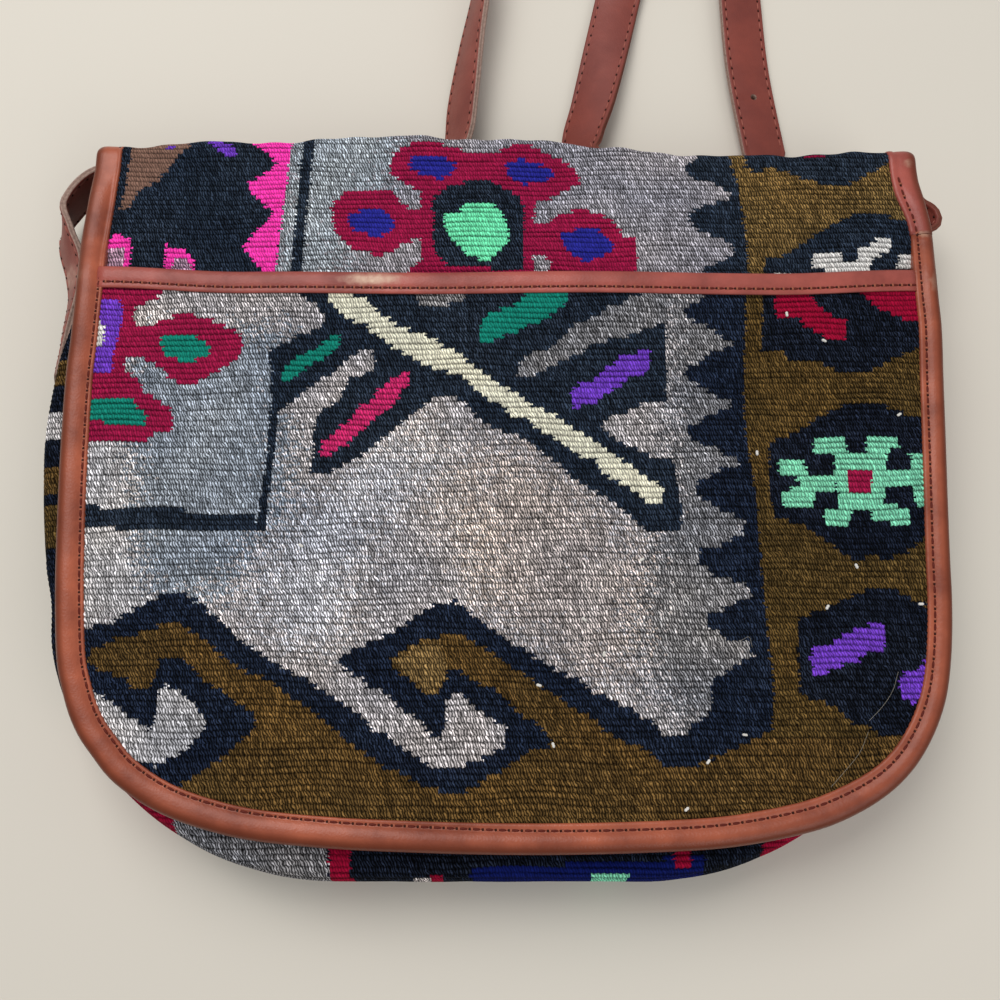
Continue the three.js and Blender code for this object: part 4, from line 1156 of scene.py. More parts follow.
# %% Front cloth
CUT_ROWS, CUT_AWAY = 7.0, 0.02
FRONT_COLUMNS, BACK_COLUMNS = 158, 140
FRONT_SINK = 0.5
front_u = panel_columns(FRONT_COLUMNS)
front_rows, front_rise, front_ribs = rib_rows(BODY_BOTTOM, MOUTH_Y - 2)
lowest_rows = front_rows[:, None] < BODY_BOTTOM + CUT_ROWS
front_left, front_right = body_edges(np.maximum(front_rows, BODY_BOTTOM + CUT_ROWS)[:, None])
front_x = front_left + (front_right - front_left) * front_u[None, :]
front_y = np.where(lowest_rows, np.maximum(front_rows[:, None], bottom_edge(front_x)), front_rows[:, None])
front_drop = roll_over(edge_distance(front_x, front_y))
front_z = front_rest(front_x, front_y) - front_drop + front_rise[:, None] - FRONT_SINK
front_points = np.stack([front_x, front_y, front_z], -1)
front_cell_x = cell_middles(front_points)[..., 0]
row_height = np.diff(front_y, axis=0)
front_keep = np.maximum(row_height[:, :-1], row_height[:, 1:]) > CUT_AWAY
front_cell_y = rib_middle(front_rows, front_ribs)[:, None]
front_cell_z = front_rest(front_cell_x, front_cell_y)
front_yarn = weave(BODY_MOTIFS, *to_photo(front_cell_x, front_cell_y, front_cell_z))
front_cloth = woven_piece("front_cloth", front_points, front_yarn, (front_x - BODY_MID) / LOOP,
                          front_ribs[:, None], front_keep)

# %% Gusset cloth
GUSSET_SWELL, SEAM_TUCK = 2.6, 0.6


def body_outline(step):
    """The body's outline from the top of its left side, round the bottom, to the top of its right side."""
    side_y = np.arange(GUSSET_TOP, BODY_BOTTOM + BODY_CORNER, -step)
    left, right = body_edges(side_y)
    turn = np.linspace(0, math.pi / 2, int(BODY_CORNER * math.pi / 2 / step))
    arc_y = BODY_BOTTOM + BODY_CORNER * (1 - np.sin(turn))
    arc_x = BODY_CORNER * (1 - np.cos(turn))
    bottom_x = np.arange(BODY_LEFT + BODY_CORNER + step, BODY_RIGHT - BODY_CORNER, step)
    x = np.concatenate([left, BODY_LEFT + arc_x + left_slack(arc_y), bottom_x,
                        (BODY_RIGHT - arc_x)[::-1], right[::-1]])
    y = np.concatenate([side_y, arc_y, np.full(len(bottom_x), BODY_BOTTOM), arc_y[::-1], side_y[::-1]])
    return np.stack([x, y], -1)


gusset_path = body_outline(LOOP * 2)
_, gusset_in = path_sides(gusset_path)
gusset_rows, gusset_rise, gusset_ribs = rib_rows(SEAM_LOW, SEAM_HIGH + SEAM_TUCK)
share = (gusset_rows - SEAM_LOW) / (SEAM_HIGH - SEAM_LOW)
swell = GUSSET_SWELL * (1 - (2 * share - 1) ** 2) + gusset_rise
gusset_xy = gusset_path[None, :, :] - gusset_in[None, :, :] * swell[:, None, None]
gusset_z = np.broadcast_to(gusset_rows[:, None, None], gusset_xy.shape[:2] + (1,))
gusset_mid = (gusset_path[:-1] + gusset_path[1:]) / 2
gusset_across, gusset_down = to_photo(gusset_mid[:, 0], gusset_mid[:, 1], BODY_DEPTH)
gusset_yarn = weave(BODY_MOTIFS, gusset_across[None, :], gusset_down[None, :])
gusset_yarn = np.tile(gusset_yarn, (len(gusset_rows) - 1, 1))
gusset_cloth = woven_piece("gusset_cloth", np.concatenate([gusset_xy, gusset_z], -1), gusset_yarn,
                           run_along(gusset_path)[None, :] / LOOP, gusset_ribs[:, None])

# %% Back cloth
BACK_LIFT = 0.4
BACK_FOLD = 11.0
BACK_WALL = 156.4
BACK_TOP_Z = 36.0
BACK_MOTIFS = [
    ("navy", "-200,-400 1200,-400 1200,1200 -200,1200"),
    ("ash", "-200,60 1200,60 1200,120 -200,120"),
    ("crimson", "-200,128 1200,128 1200,160 -200,160"),
    ("ash", "500,210 760,470 500,730 240,470"),
    ("crimson", "500,250 720,470 500,690 280,470"),
    ("navy", "500,300 670,470 500,640 330,470"),
    ("mint", "500,370 600,470 500,570 400,470"),
    ("crimson", "500,420 550,470 500,520 450,470"),
    ("olive", "-200,330 110,400 180,470 110,540 -200,610"),
    ("olive", "1200,330 890,400 820,470 890,540 1200,610"),
    ("red", "-200,780 1200,780 1200,820 -200,820"),
    ("blue", "-200,828 1200,828 1200,1200 -200,1200"),
]
PATTERN_SCALE, PATTERN_MIDDLE = 2.4, 500
BACK_ROLL_END = BODY_TOP - 20
BACK_SINK = 0.34 * RIB_HEIGHT


def on_back(x, run):
    """Place and outward direction of the back's face: flat on the floor, then up the wall."""
    x, run = np.broadcast_arrays(np.asarray(x, float), np.asarray(run, float))
    turn_y = BACK_WALL - BACK_FOLD
    angle = np.clip((run - turn_y) / BACK_FOLD, 0, math.pi / 2)
    up = np.maximum(run - turn_y - BACK_FOLD * math.pi / 2, 0)
    y = np.where(run < turn_y, run, turn_y + BACK_FOLD * np.sin(angle))
    z = BACK_LIFT + BACK_FOLD * (1 - np.cos(angle)) + up
    return np.stack([x, y, z], -1), np.stack([np.zeros_like(x), np.sin(angle), -np.cos(angle)], -1)


back_length = BACK_WALL - BACK_FOLD + BACK_FOLD * math.pi / 2 + BACK_TOP_Z - BACK_FOLD
back_rows, back_rise, back_ribs = rib_rows(BODY_BOTTOM, back_length)
back_left, back_right = body_edges(np.minimum(back_rows, BODY_TOP)[:, None])
back_x = back_left + (back_right - back_left) * panel_columns(BACK_COLUMNS)[None, :]
back_points, back_out = on_back(back_x, back_rows[:, None])
back_points = back_points + back_out * (back_rise[:, None, None] - BACK_SINK)
side_roll = roll_over(edge_distance(back_x, np.minimum(back_points[..., 1], BACK_ROLL_END + 1)))
back_points[..., 2] += np.where(back_points[..., 1] < BACK_ROLL_END, side_roll, 0)
back_across = PATTERN_MIDDLE + PATTERN_SCALE * cell_middles(back_points)[..., 0]
back_down = PATTERN_MIDDLE - PATTERN_SCALE * rib_middle(back_rows, back_ribs)[:, None]
back_yarn = weave(BACK_MOTIFS, back_across, back_down)
back_cloth = woven_piece("back_cloth", back_points[:, ::-1], back_yarn[:, ::-1],
                         back_x[:, ::-1] / LOOP, back_ribs[:, None])

# %% [markdown]
# ## Leather bindings
# A strip of leather is folded over the cloth's edge and sewn through near its inner side, so it stands up
# as a soft roll and dips along the stitches. A bevelled curve would give one round section everywhere. A
# sweep with its own section at each station can also swallow the step where the pocket ends.

# %% Sweeping a section along stations
def face_outwards(piece):
    """Turns every face of a closed mesh outwards."""
    shell = bmesh.new()
    shell.from_mesh(piece.data)
    bmesh.ops.recalc_face_normals(shell, faces=shell.faces)
    shell.to_mesh(piece.data)
    shell.free()
    return piece


def tube_faces(rings, around, first=0, closed=False):
    """The quads from each ring of points to the next and, if closed, from the last ring to the first."""
    faces = []
    for ring in range(rings if closed else rings - 1):
        here, there = first + ring * around, first + (ring + 1) % rings * around
        for step in range(around):
            after = (step + 1) % around
            faces.append((here + step, here + after, there + after, there + step))
    return faces


def sweep(name, origins, inward, outward, sections, material):
    """A closed solid whose section, in steps inward and outward, follows the stations."""
    rings, around = sections.shape[:2]
    points = (origins[:, None, :] + inward[:, None, :] * sections[..., :1]
              + outward[:, None, :] * sections[..., 1:])
    ends = [tuple(range(around)), tuple(range((rings - 1) * around, rings * around))[::-1]]
    piece = face_outwards(make_piece(name, points.reshape(-1, 3), tube_faces(rings, around) + ends, material))
    print(name, rings, "stations")
    return piece


ALONG_Y, UPWARDS = (0.0, 1.0, 0.0), (0.0, 0.0, 1.0)


def same(direction, count):
    """One direction for every station."""
    return np.tile(direction, (count, 1))


print("faces of a tube of 3 rings of 8 points:", len(tube_faces(3, 8)))

# %% Section and stations of a folded binding
LEATHER = 1.4
SECTION_WIDTH = 10.3
STITCH_DIP, DIP_SHARE, THREAD_LIFT = 0.75, 0.6, 0.1
CREST = 2.8
NARROW_LIP, WIDE_LIP = 1.4, 2.6
SHOULDER = [(0.15, 0.32), (0.55, 0.60), (1.35, 0.82), (2.5, 0.96)]


def roll_section(thick, crest, lip):
    """A folded binding's section: under leaf, round outer fold, crest, dip at the stitches and lip."""
    middle = (crest - thick) / 2
    sewn = SECTION_WIDTH - lip
    dip = min(STITCH_DIP, crest * DIP_SHARE)
    under = [(9.8, -thick), (6, -thick - 0.1), (2.2, -thick + 0.15), (0.7, -thick + 1.0),
             (0.1, middle - 1.0), (0, middle)]
    shoulder = [(reach, middle + (crest - middle) * share) for reach, share in SHOULDER]
    over = [(4.0, crest), (sewn - 1.7, crest * 0.86), (sewn - 0.8, dip + 0.2 * crest), (sewn, dip)]
    inner = [(sewn + 0.5, dip + 0.3), (sewn + lip * 0.55, dip + 0.4), (sewn + lip * 0.85, dip + 0.25),
             (10.25, dip - 0.2), (SECTION_WIDTH, -0.4), (10.2, -1.4)]
    return np.array(under + shoulder + over + inner)


def flap_outline(top_left, top_right):
    """The flap's outer edge from the top of its left side, round the bottom, to the top of its right side."""
    tops = np.where(np.arange(len(rim)) < lowest, top_left, top_right)
    return rim[rim[:, 1] <= tops]


def flat_stations(path):
    """Origin on the cloth's top, inward and outward direction and thickness along a path on the flap."""
    _, side = path_sides(path)
    under = path + side * BINDING_WIDTH / 2
    top = stack_top(under[:, 0], under[:, 1])
    origins = np.column_stack([path, top])
    inward = np.column_stack([side, np.zeros(len(path))])
    thick = top - flap_under(under[:, 0], under[:, 1]) + LEATHER
    return origins, inward, same(UPWARDS, len(path)), thick


def fold_stations(x, side, runs):
    """The same along the side edge where it turns over the fold and down the wall."""
    origins, outward, _ = over_fold(np.full(len(runs), x), runs)
    thick = np.full(len(runs), KILIM + LINING + GAP + LEATHER)
    return origins, same((side, 0.0, 0.0), len(runs)), outward, thick


print("section of the binding:", len(roll_section(KILIM, CREST, WIDE_LIP)), "points")

# %% Binding round the flap
RIGHT_SIDE, JOINT_WAIST, ABOVE_JOINT = (130, 172), (116, 14), (124, 142)
FULL_WIDTH, RIGHT_LOSS, WAIST_LOSS, TOP_GAIN = 1.14, 0.14, 0.08, 0.20
LIP_WIDENS = (-90, 60)
PRESSED_UP, PRESSED_RIGHT = (132, 152), (100, 160)
FOLD_PRESS, RIGHT_PRESS, FLATTEST = 0.62, 0.25, 0.9
FOLD_START, FOLD_END, FOLD_STEP = 150.0, 97, 1.1


def binding_widths(origins):
    """The strip was not folded at its middle everywhere: on the right it narrows to the joint and widens
    above."""
    on_right = ease(origins[:, 0], *RIGHT_SIDE)
    waist, top = hump(origins[:, 1], *JOINT_WAIST), ease(origins[:, 1], *ABOVE_JOINT)
    return FULL_WIDTH - on_right * (RIGHT_LOSS + WAIST_LOSS * waist - TOP_GAIN * top)


def binding_lips(origins):
    """Width of the lip inside the stitches, narrow along the left side."""
    return NARROW_LIP + (WIDE_LIP - NARROW_LIP) * ease(origins[:, 0], *LIP_WIDENS)


def roll_sections(origins, thick, run):
    """Sections along a binding, a little fuller or flatter from place to place and pressed over the fold."""
    puff = 0.22 * np.sin(run / 31) + 0.14 * np.sin(run / 11 + 1)
    pressed = (1 - FOLD_PRESS * ease(origins[:, 1], *PRESSED_UP)
               - RIGHT_PRESS * ease(origins[:, 0], *PRESSED_RIGHT))
    crests = np.maximum((CREST + puff) * pressed, FLATTEST)
    sections = np.stack([roll_section(*sizes) for sizes in zip(thick, crests, binding_lips(origins))])
    sections[..., 0] *= binding_widths(origins)[:, None]
    return sections


def stitch_line(stations):
    """The line along the bottom of the dip in which a binding is sewn."""
    origins, inward, outward, _ = stations
    reach = (SECTION_WIDTH - binding_lips(origins)) * binding_widths(origins)
    return origins + inward * reach[:, None] + outward * (STITCH_DIP + THREAD_LIFT)


fold_runs = np.append(np.arange(FOLD_START + 2 - STRIP_START, FOLD_END - 1, FOLD_STEP), FOLD_END)
left_x, right_x = flap_edges(FOLD_START)
left_fold = [part[::-1] for part in fold_stations(left_x, 1.0, fold_runs)]
outline = flap_outline(FOLD_START, JOINT_Y)
around = [np.concatenate(parts) for parts in zip(left_fold, flat_stations(outline))]
edge_sections = roll_sections(around[0], around[3], run_along(around[0]))
edge_binding = sweep("edge_binding", *around[:3], edge_sections, BINDING_LEATHER)

# %% Closing length at the upper right
JOINT_LAP, JOINT_STEP = 2.0, 2.0
LAP_SWELL, LAP_RUN = 0.05, (2, 14)
JOINT_PUFF_FROM = 200
joint_y = np.arange(JOINT_Y - JOINT_LAP, FOLD_START, JOINT_STEP)
joint_path = np.column_stack([flap_edges(joint_y)[1], joint_y])
joint_fold = fold_stations(right_x, -1.0, fold_runs)
joint = [np.concatenate(parts) for parts in zip(flat_stations(joint_path), joint_fold)]
joint_run = run_along(joint[0])
lap = 1 + LAP_SWELL * (1 - ease(joint_run, *LAP_RUN))
joint_sections = roll_sections(joint[0], joint[3], joint_run + JOINT_PUFF_FROM) * lap[:, None, None]
joint[0] = joint[0] - joint[1] * (lap[:, None] - 1) * BINDING_WIDTH / 2
binding_joint = sweep("binding_joint", *joint[:3], joint_sections, BAND_LEATHER)

# %% Band over the pocket's mouth and binding of the bag's own mouth
BAND_WIDTH = BAND_HIGH - BAND_LOW
BAND_STITCH = 2.5
BAND_TUCK, BAND_STEP = 9.5, 3.0
BAND_END_Y, BAND_SEAT = BAND_LOW + 8, 4
LEFT_RISE, LEFT_END = 4.2, (-172, -105)
RIGHT_RISE, RIGHT_END = 2.2, (115, 178)
MOUTH_BAND_WIDTH, MOUTH_OVERHANG, MOUTH_STATIONS = 10.0, 1.6, 110
MOUTH_END, MOUTH_SINK = 1, 1.0


def band_section(width):
    """A flat strip folded over an edge: lower edge, dip at the stitches, gently crowned face, folded top."""
    sewn = [(0.1, 0.1), (0, 0.8), (0.35, 1.1), (BAND_STITCH - 0.7, 1.1), (BAND_STITCH, 0.85),
            (BAND_STITCH + 0.7, 1.15)]
    folded = [(0.5, 1.3), (0.7, 1.3), (0.88, 1.05), (0.97, 0.3), (1, -1.0), (0.97, -2.4), (0.9, -3.2),
              (0.6, -3.4), (0.3, -2.6)]
    return np.array(sewn + [(width * share, rise) for share, rise in folded])


def band(name, origins, width, material):
    """A folded strip across the bag, from the places along its lower edge."""
    count = len(origins)
    sections = np.tile(band_section(width), (count, 1, 1))
    return sweep(name, origins, same(ALONG_Y, count), same(UPWARDS, count), sections, material)


def band_rise(x):
    """The band's ends are pulled up into the side bindings."""
    return LEFT_RISE * (1 - ease(x, *LEFT_END)) + RIGHT_RISE * ease(x, *RIGHT_END) + 0.35 * np.sin(x / 23)


band_left, band_right = flap_edges(BAND_END_Y)
band_x = np.arange(band_left + BAND_TUCK, band_right - BAND_TUCK, BAND_STEP)
band_low = BAND_LOW + band_rise(band_x)
band_origins = np.column_stack([band_x, band_low, pocket_top(band_x, band_low + BAND_SEAT)])
pocket_band = band("pocket_band", band_origins, BAND_WIDTH, BAND_LEATHER)

mouth_left, mouth_right = body_edges(MOUTH_Y)
mouth_x = np.linspace(mouth_left + MOUTH_END, mouth_right - MOUTH_END, MOUTH_STATIONS)
mouth_low = np.full(len(mouth_x), MOUTH_Y - MOUTH_BAND_WIDTH + MOUTH_OVERHANG)
mouth_z = front_rest(mouth_x, mouth_low + BAND_SEAT)
mouth_z = mouth_z - roll_over(edge_distance(mouth_x, mouth_low)) - MOUTH_SINK
mouth_band = band("mouth_band", np.column_stack([mouth_x, mouth_low, mouth_z]), MOUTH_BAND_WIDTH,
                  BINDING_LEATHER)

# %% [markdown]
# ## Rubbed leather
# Handling takes the dye off where a hand or a corner rubs. A painted mask would be an image. A few soft spots
# stored on the points do the same, and the leather reads them.

# %% Rubbed places and painted side shade on the leather
RUBBED_SPOTS = [((372, 279), (30, 6), 1.0), ((935, 281), (4, 9), 0.9), ((78, 275), (5, 12), 0.5),
                ((925, 233), (12, 2.5), 0.8), ((908, 163), (7, 5), 0.55), ((69, 278), (4, 14), 0.8)]


def rub(piece):
    """Marks the places where handling has rubbed the leather pale."""
    places = np.zeros(len(piece.data.vertices) * 3)
    piece.data.vertices.foreach_get("co", places)
    across, down = to_photo(*(places.reshape(-1, 3).T / MM))
    worn = sum(much * np.exp(-((across - x) / rx) ** 2 - ((down - y) / ry) ** 2)
               for (x, y), (rx, ry), much in RUBBED_SPOTS)
    piece.data.attributes.new("wear", "FLOAT", "POINT").data.foreach_set("value", worn)
    return piece


# The outer side of each binding's section, round its fold, gets painted shade.
OUTER_SIDE_SHADE_STEPS = np.array([0, 0, 0.4, 0.8, 1, 1, 1, 1, 1, 0.8, 0.25] + [0] * 9)
for leather_piece in (edge_binding, binding_joint, pocket_band):
    rub(leather_piece)
for leather_piece in (edge_binding, binding_joint):
    shares = np.resize(OUTER_SIDE_SHADE_STEPS, len(leather_piece.data.vertices))
    leather_piece.data.attributes.new("painted_side_shade", "FLOAT", "POINT").data.foreach_set("value", shares)
print("rubbed places:", len(RUBBED_SPOTS))

# %% [markdown]
# ## Cotton linings
# Thin cotton lines the flap and the pouch, and shows when the flap is lifted. It could be draped by cloth
# simulation, but a lining is sewn in and lies flat, so plain sheets that follow the kilim's shape are enough.

# %% Flap lining
LINING_STEP, LINING_LIFT = 4.0, 0.25
lining_x = np.arange(rim[:, 0].min(), rim[:, 0].max(), LINING_STEP)
lining_y = np.arange(FLAP_BOTTOM + CLOTH_INSET, BODY_TOP - 5, LINING_STEP)
lining_gx, lining_gy = np.meshgrid(lining_x, lining_y)
lining_points = np.stack([lining_gx, lining_gy, flap_under(lining_gx, lining_gy) + LINING_LIFT], -1)
lining_middle = cell_middles(lining_points)
lining_keep = inside(cloth_edge, lining_middle[..., 0], lining_middle[..., 1])
lining_quads = grid_faces(len(lining_y), len(lining_x), lining_keep)[:, ::-1]
flap_lining_cloth = make_piece("flap_lining_cloth", *used_only(lining_points, lining_quads), COTTON)
print("flap lining", len(lining_quads), "faces")

# %% Pouch lining
POUCH_INSET = 4.5
POUCH_LOW, POUCH_HIGH = 3.6, BODY_DEPTH - 4.2
POUCH_SIDES, POUCH_ROWS = 96, 70
POUCH_SQUARE = 0.35
POUCH_CLOSING, POUCH_FLATTEST, POUCH_SHORT = 10, 0.04, 4
WALL_STEP, WALL_FINE_STEP = 3.0, 1.5
WALL_LINING_START, WALL_LINING_BEND, WALL_LINING_END = MOUTH_Y - 8, 143, 178
WALL_LINING_LEFT, WALL_LINING_RIGHT = 6, 8
WALL_LINING_DEPTH, WALL_LINING_COLUMNS = 3.0, 90
pouch_rows = np.linspace(BODY_BOTTOM + POUCH_INSET, MOUTH_Y - POUCH_SHORT, POUCH_ROWS)
pouch_turns = np.linspace(0, 2 * math.pi, POUCH_SIDES + 1)[:-1]
pouch_left, pouch_right = body_edges(pouch_rows[:, None])
pouch_half = (pouch_right - pouch_left) / 2 - POUCH_INSET
pouch_drop = np.sqrt(np.clip((pouch_rows - BODY_BOTTOM - POUCH_INSET) / POUCH_CLOSING, 0, 1))[:, None]
squared, lifted = (np.sign(wave) * np.abs(wave) ** POUCH_SQUARE
                   for wave in (np.cos(pouch_turns)[None, :], np.sin(pouch_turns)[None, :]))
pouch_x = (pouch_left + pouch_right) / 2 + pouch_half * squared
pouch_y = np.broadcast_to(pouch_rows[:, None], pouch_x.shape)
pouch_mid, pouch_reach = (POUCH_LOW + POUCH_HIGH) / 2, (POUCH_HIGH - POUCH_LOW) / 2
pouch_z = pouch_mid + pouch_reach * lifted * np.maximum(pouch_drop, POUCH_FLATTEST)
pouch_z = pouch_z + np.where(lifted > 0, crown(pouch_x, pouch_y) * pouch_drop, 0)
pouch_faces = tube_faces(POUCH_ROWS, POUCH_SIDES) + [tuple(range(POUCH_SIDES))]
pouch_lining = make_piece("pouch_lining", np.stack([pouch_x, pouch_y, pouch_z], -1).reshape(-1, 3),
                          pouch_faces, COTTON)

wall_runs = np.append(np.arange(WALL_LINING_START, WALL_LINING_BEND, WALL_STEP),
                      np.arange(WALL_LINING_BEND, WALL_LINING_END, WALL_FINE_STEP))
wall_x = np.linspace(mouth_left + WALL_LINING_LEFT, mouth_right - WALL_LINING_RIGHT, WALL_LINING_COLUMNS)
wall_points, wall_out = on_back(wall_x[None, :], wall_runs[:, None])
wall_points = (wall_points - wall_out * WALL_LINING_DEPTH).reshape(-1, 3)
wall_lining = make_piece("wall_lining", wall_points, grid_faces(len(wall_runs), len(wall_x)), COTTON)
print("pouch lining", len(pouch_faces), "faces")

# %% [markdown]
# ## The strap
# Two layers of leather, 22 mm wide, glued flesh to flesh and sewn along both edges. Its two ends are sewn to
# the gussets, stand on edge round the bag's corners and along the back, then turn out and lie on the floor.
# A bevelled curve would choose its own twist, so a course gives, at each stop, the place, the height of the
# strap's lowest edge and its lean: 0 degrees is flat and 90 is on edge. The stops follow the frame's strap,
# so the dressed one lies where the solid is.

# %% Course of the strap
STRAP_WIDTH, STRAP_THICK = 22.0, 4.4
SEAT_LIFT, ON_FLOOR = 10.0, 0.2
WALL_RUN = 163.8
LEFT_SEAT, RIGHT_SEAT = BODY_LEFT - 4.0, BODY_RIGHT + 4.0
EYE_INNER, EYE_OUTER = 2.4213, 4.6213
BAR_X, BAR_Y, BAR_Z = 63.0, WALL_RUN + 164, EYE_OUTER
BUCKLE_LIFT = EYE_INNER
EYE_BACK, EYE_LAP = 2 * EYE_OUTER, 0.3
COURSE_SAMPLES, COURSE_STEP = 1200, 2.0


def laid(seat, stops):
    """Stops of a course from places that are measured across from a seat and along from the wall."""
    return [(seat + x, WALL_RUN + y, lift, lean) for x, y, lift, lean in stops]


LONG_STOPS = laid(LEFT_SEAT, [
    (-3, -105, SEAT_LIFT, 68), (-1.5, -82, SEAT_LIFT, 62), (0.5, -62, SEAT_LIFT, 58),
    (-1, -50, SEAT_LIFT, 53), (-6.5, -35, SEAT_LIFT - 1, 58), (-6.8, -20, SEAT_LIFT - 4, 82),
    (5, -3, SEAT_LIFT - 8, 90), (26, 0, 0.4, 90), (88, 0, ON_FLOOR, 90)])
LONG_STOPS += laid(0, [(x, y, ON_FLOOR, lean) for x, y, lean in (
    (-56, 0, 90), (-34, 1.5, 84), (-22.5, 9, 64), (-19.5, 22, 53), (-18, 40, 50), (-14, 72, 58),
    (-9, 104, 67), (-6, 138, 85), (5, 177, 90), (28, 199, 90), (57, 206, 90), (86, 199, 90), (110, 177, 80),
    (118.5, 140, 40), (119.5, 104, 14), (121.3, 62, 12), (126, 24, 12), (128.3, 8, 12))])
SHORT_STOPS = laid(RIGHT_SEAT, [
    (0, -105, SEAT_LIFT, 90), (0, -82, SEAT_LIFT, 90), (0.5, -62, SEAT_LIFT, 90), (1.5, -50, SEAT_LIFT, 90),
    (4, -38, SEAT_LIFT, 82), (8.2, -30, SEAT_LIFT, 60), (5, -22, SEAT_LIFT - 3, 76),
    (2.5, -11, SEAT_LIFT - 7, 88), (-8, 0, 0.6, 90), (-24, 0, 0.3, 90), (-70, 0, ON_FLOOR, 90)])
SHORT_STOPS += laid(0, [(x, y, ON_FLOOR, lean) for x, y, lean in (
    (74, 0, 90), (51, 2, 84), (40, 9, 58), (39.5, 22, 34), (45, 42, 24), (52.6, 74, 11), (58.5, 100, 3))])
SHORT_STOPS += [(BAR_X - 1, WALL_RUN + 115, BUCKLE_LIFT - 0.6, 0)]
SHORT_STOPS += [(BAR_X, BAR_Y - back, BUCKLE_LIFT, 0) for back in (40, 24, EYE_BACK - EYE_LAP)]


def course(stops):
    """Centre line of a strap at even spacing, with the directions across it and out of its face."""
    shares = np.linspace(0, 1, COURSE_SAMPLES)
    stops = np.array(stops, float)
    plan = np.array([through(stops[:, :2], share) for share in shares])
    stance = np.array([through(stops[:, 2:], share) for share in shares])
    lean = np.radians(stance[:, 1])
    rise = (np.abs(np.sin(lean)) * STRAP_WIDTH + np.abs(np.cos(lean)) * STRAP_THICK) / 2
    centre = np.column_stack([plan, stance[:, 0] + rise])
    run = run_along(centre)
    even = np.linspace(0, run[-1], int(run[-1] / COURSE_STEP))
    centre = np.column_stack([np.interp(even, run, column) for column in centre.T])
    lean = np.interp(even, run, lean)
    ahead = np.column_stack([unit(np.gradient(centre[:, :2], axis=0)), np.zeros(len(even))])
    across = np.column_stack([ahead[:, 1] * np.cos(lean), -ahead[:, 0] * np.cos(lean), np.sin(lean)])
    return centre, across, np.cross(ahead, across), even


print("stops of the straps:", len(LONG_STOPS), "and", len(SHORT_STOPS))

# %% Strap section and its raw edges
SEW_INSET, SEW_SINK, EDGE_BAND = 2.2, 0.2, 0.6
half_strap = STRAP_WIDTH / 2
SECTION_THICK = 3.2
TOP_HALF = [(0, 0.05), (half_strap - SEW_INSET - 0.8, 0.0), (half_strap - SEW_INSET, -0.28),
            (half_strap - SEW_INSET + 0.8, 0.0), (half_strap - 0.75, -0.02), (half_strap - 0.25, -0.28)]
half_thick = SECTION_THICK / 2
EDGE_HALF = [(half_strap, -0.65), (half_strap, -1.2), (half_strap - 0.4, -half_thick)]
quarter_points = [(a, half_thick + h) for a, h in TOP_HALF + EDGE_HALF]
right_side = quarter_points + [(a, -h) for a, h in quarter_points[-2::-1]]
STRAP_SECTION = np.array(right_side + [(-a, h) for a, h in right_side[-2:0:-1]])
edge_columns = np.abs(STRAP_SECTION[:, 0]) > half_strap - EDGE_BAND


def strap_piece(name, stops, edge, tip_length=0.0, tip_width=STRAP_WIDTH):
    """A strap along its course, with raw edges and, at its end, a point."""
    centre, across, face, run = course(stops)
    left_to_run = run[-1] - run
    width = np.ones(len(run))
    if tip_length:
        width = 1 - (1 - tip_width / STRAP_WIDTH) * np.clip(1 - left_to_run / tip_length, 0, 1)
    sections = np.tile(STRAP_SECTION, (len(run), 1, 1))
    sections[..., 0] *= width[:, None]
    piece = sweep(name, centre, across, face, sections, STRAP_LEATHER)
    piece.data.materials.append(edge)
    around = len(STRAP_SECTION)
    raw = np.array([edge_columns[i] and edge_columns[(i + 1) % around] for i in range(around)])
    slots = np.append(np.tile(raw, len(run) - 1), [True, True]).astype(np.int32)
    piece.data.polygons.foreach_set("material_index", slots)
    return piece, (centre, across, face, run)


print("section of the strap:", len(STRAP_SECTION), "points")

# %% Long strap with its punched holes
TIP_LENGTH, TIP_WIDTH = 7.0, 9.0
HOLE_DIAMETER, FIRST_HOLE, HOLE_SPACING, HOLE_COUNT, HOLE_SIDES = 3.2, 39.0, 63.0, 3, 24
long_strap_leather, long_line = strap_piece("long_strap_leather", LONG_STOPS, RAW_EDGE, TIP_LENGTH, TIP_WIDTH)


def punch(name, line):
    """Round cutters that stand through the strap at each hole."""
    centre, across, face, run = line
    points, faces = [], []
    for hole in range(HOLE_COUNT):
        at = int(np.argmin(np.abs(run[-1] - run - FIRST_HOLE - hole * HOLE_SPACING)))
        ahead = np.cross(across[at], face[at])
        first, half_way = len(points), len(points) + HOLE_SIDES
        for side in (-1, 1):
            for angle in np.linspace(0, 2 * math.pi, HOLE_SIDES + 1)[:-1]:
                ring = across[at] * math.cos(angle) + ahead * math.sin(angle)
                points.append(centre[at] + ring * HOLE_DIAMETER / 2 + face[at] * side * STRAP_THICK)
        faces += tube_faces(2, HOLE_SIDES, first)
        faces += [tuple(range(first, half_way)), tuple(range(half_way, half_way + HOLE_SIDES))]
    return face_outwards(make_piece(name, points, faces, RAW_EDGE))


def finished(piece):
    """The piece's mesh with its modifiers applied, as a plain mesh."""
    graph = bpy.context.evaluated_depsgraph_get()
    mesh = bpy.data.meshes.new_from_object(piece.evaluated_get(graph))
    piece.modifiers.clear()
    piece.data = mesh
    return piece


cutters = punch("punch", long_line)
drill = long_strap_leather.modifiers.new("holes", "BOOLEAN")
drill.object = cutters
drill.solver = "EXACT"
drill.material_mode = "TRANSFER"
finished(long_strap_leather)
for polygon in long_strap_leather.data.polygons:
    if len(polygon.vertices) > 4:
        polygon.use_smooth = False
rub(long_strap_leather)
bpy.data.objects.remove(cutters)
print("long strap", round(float(long_line[3][-1])), "mm,", len(long_strap_leather.data.polygons), "faces")

# %% Short strap with its buckle eye
SLOT_HALF = 2.1
EYE_SIDES = 48
short_strap_leather, short_line = strap_piece("short_strap_leather", SHORT_STOPS, STAINED_EDGE)


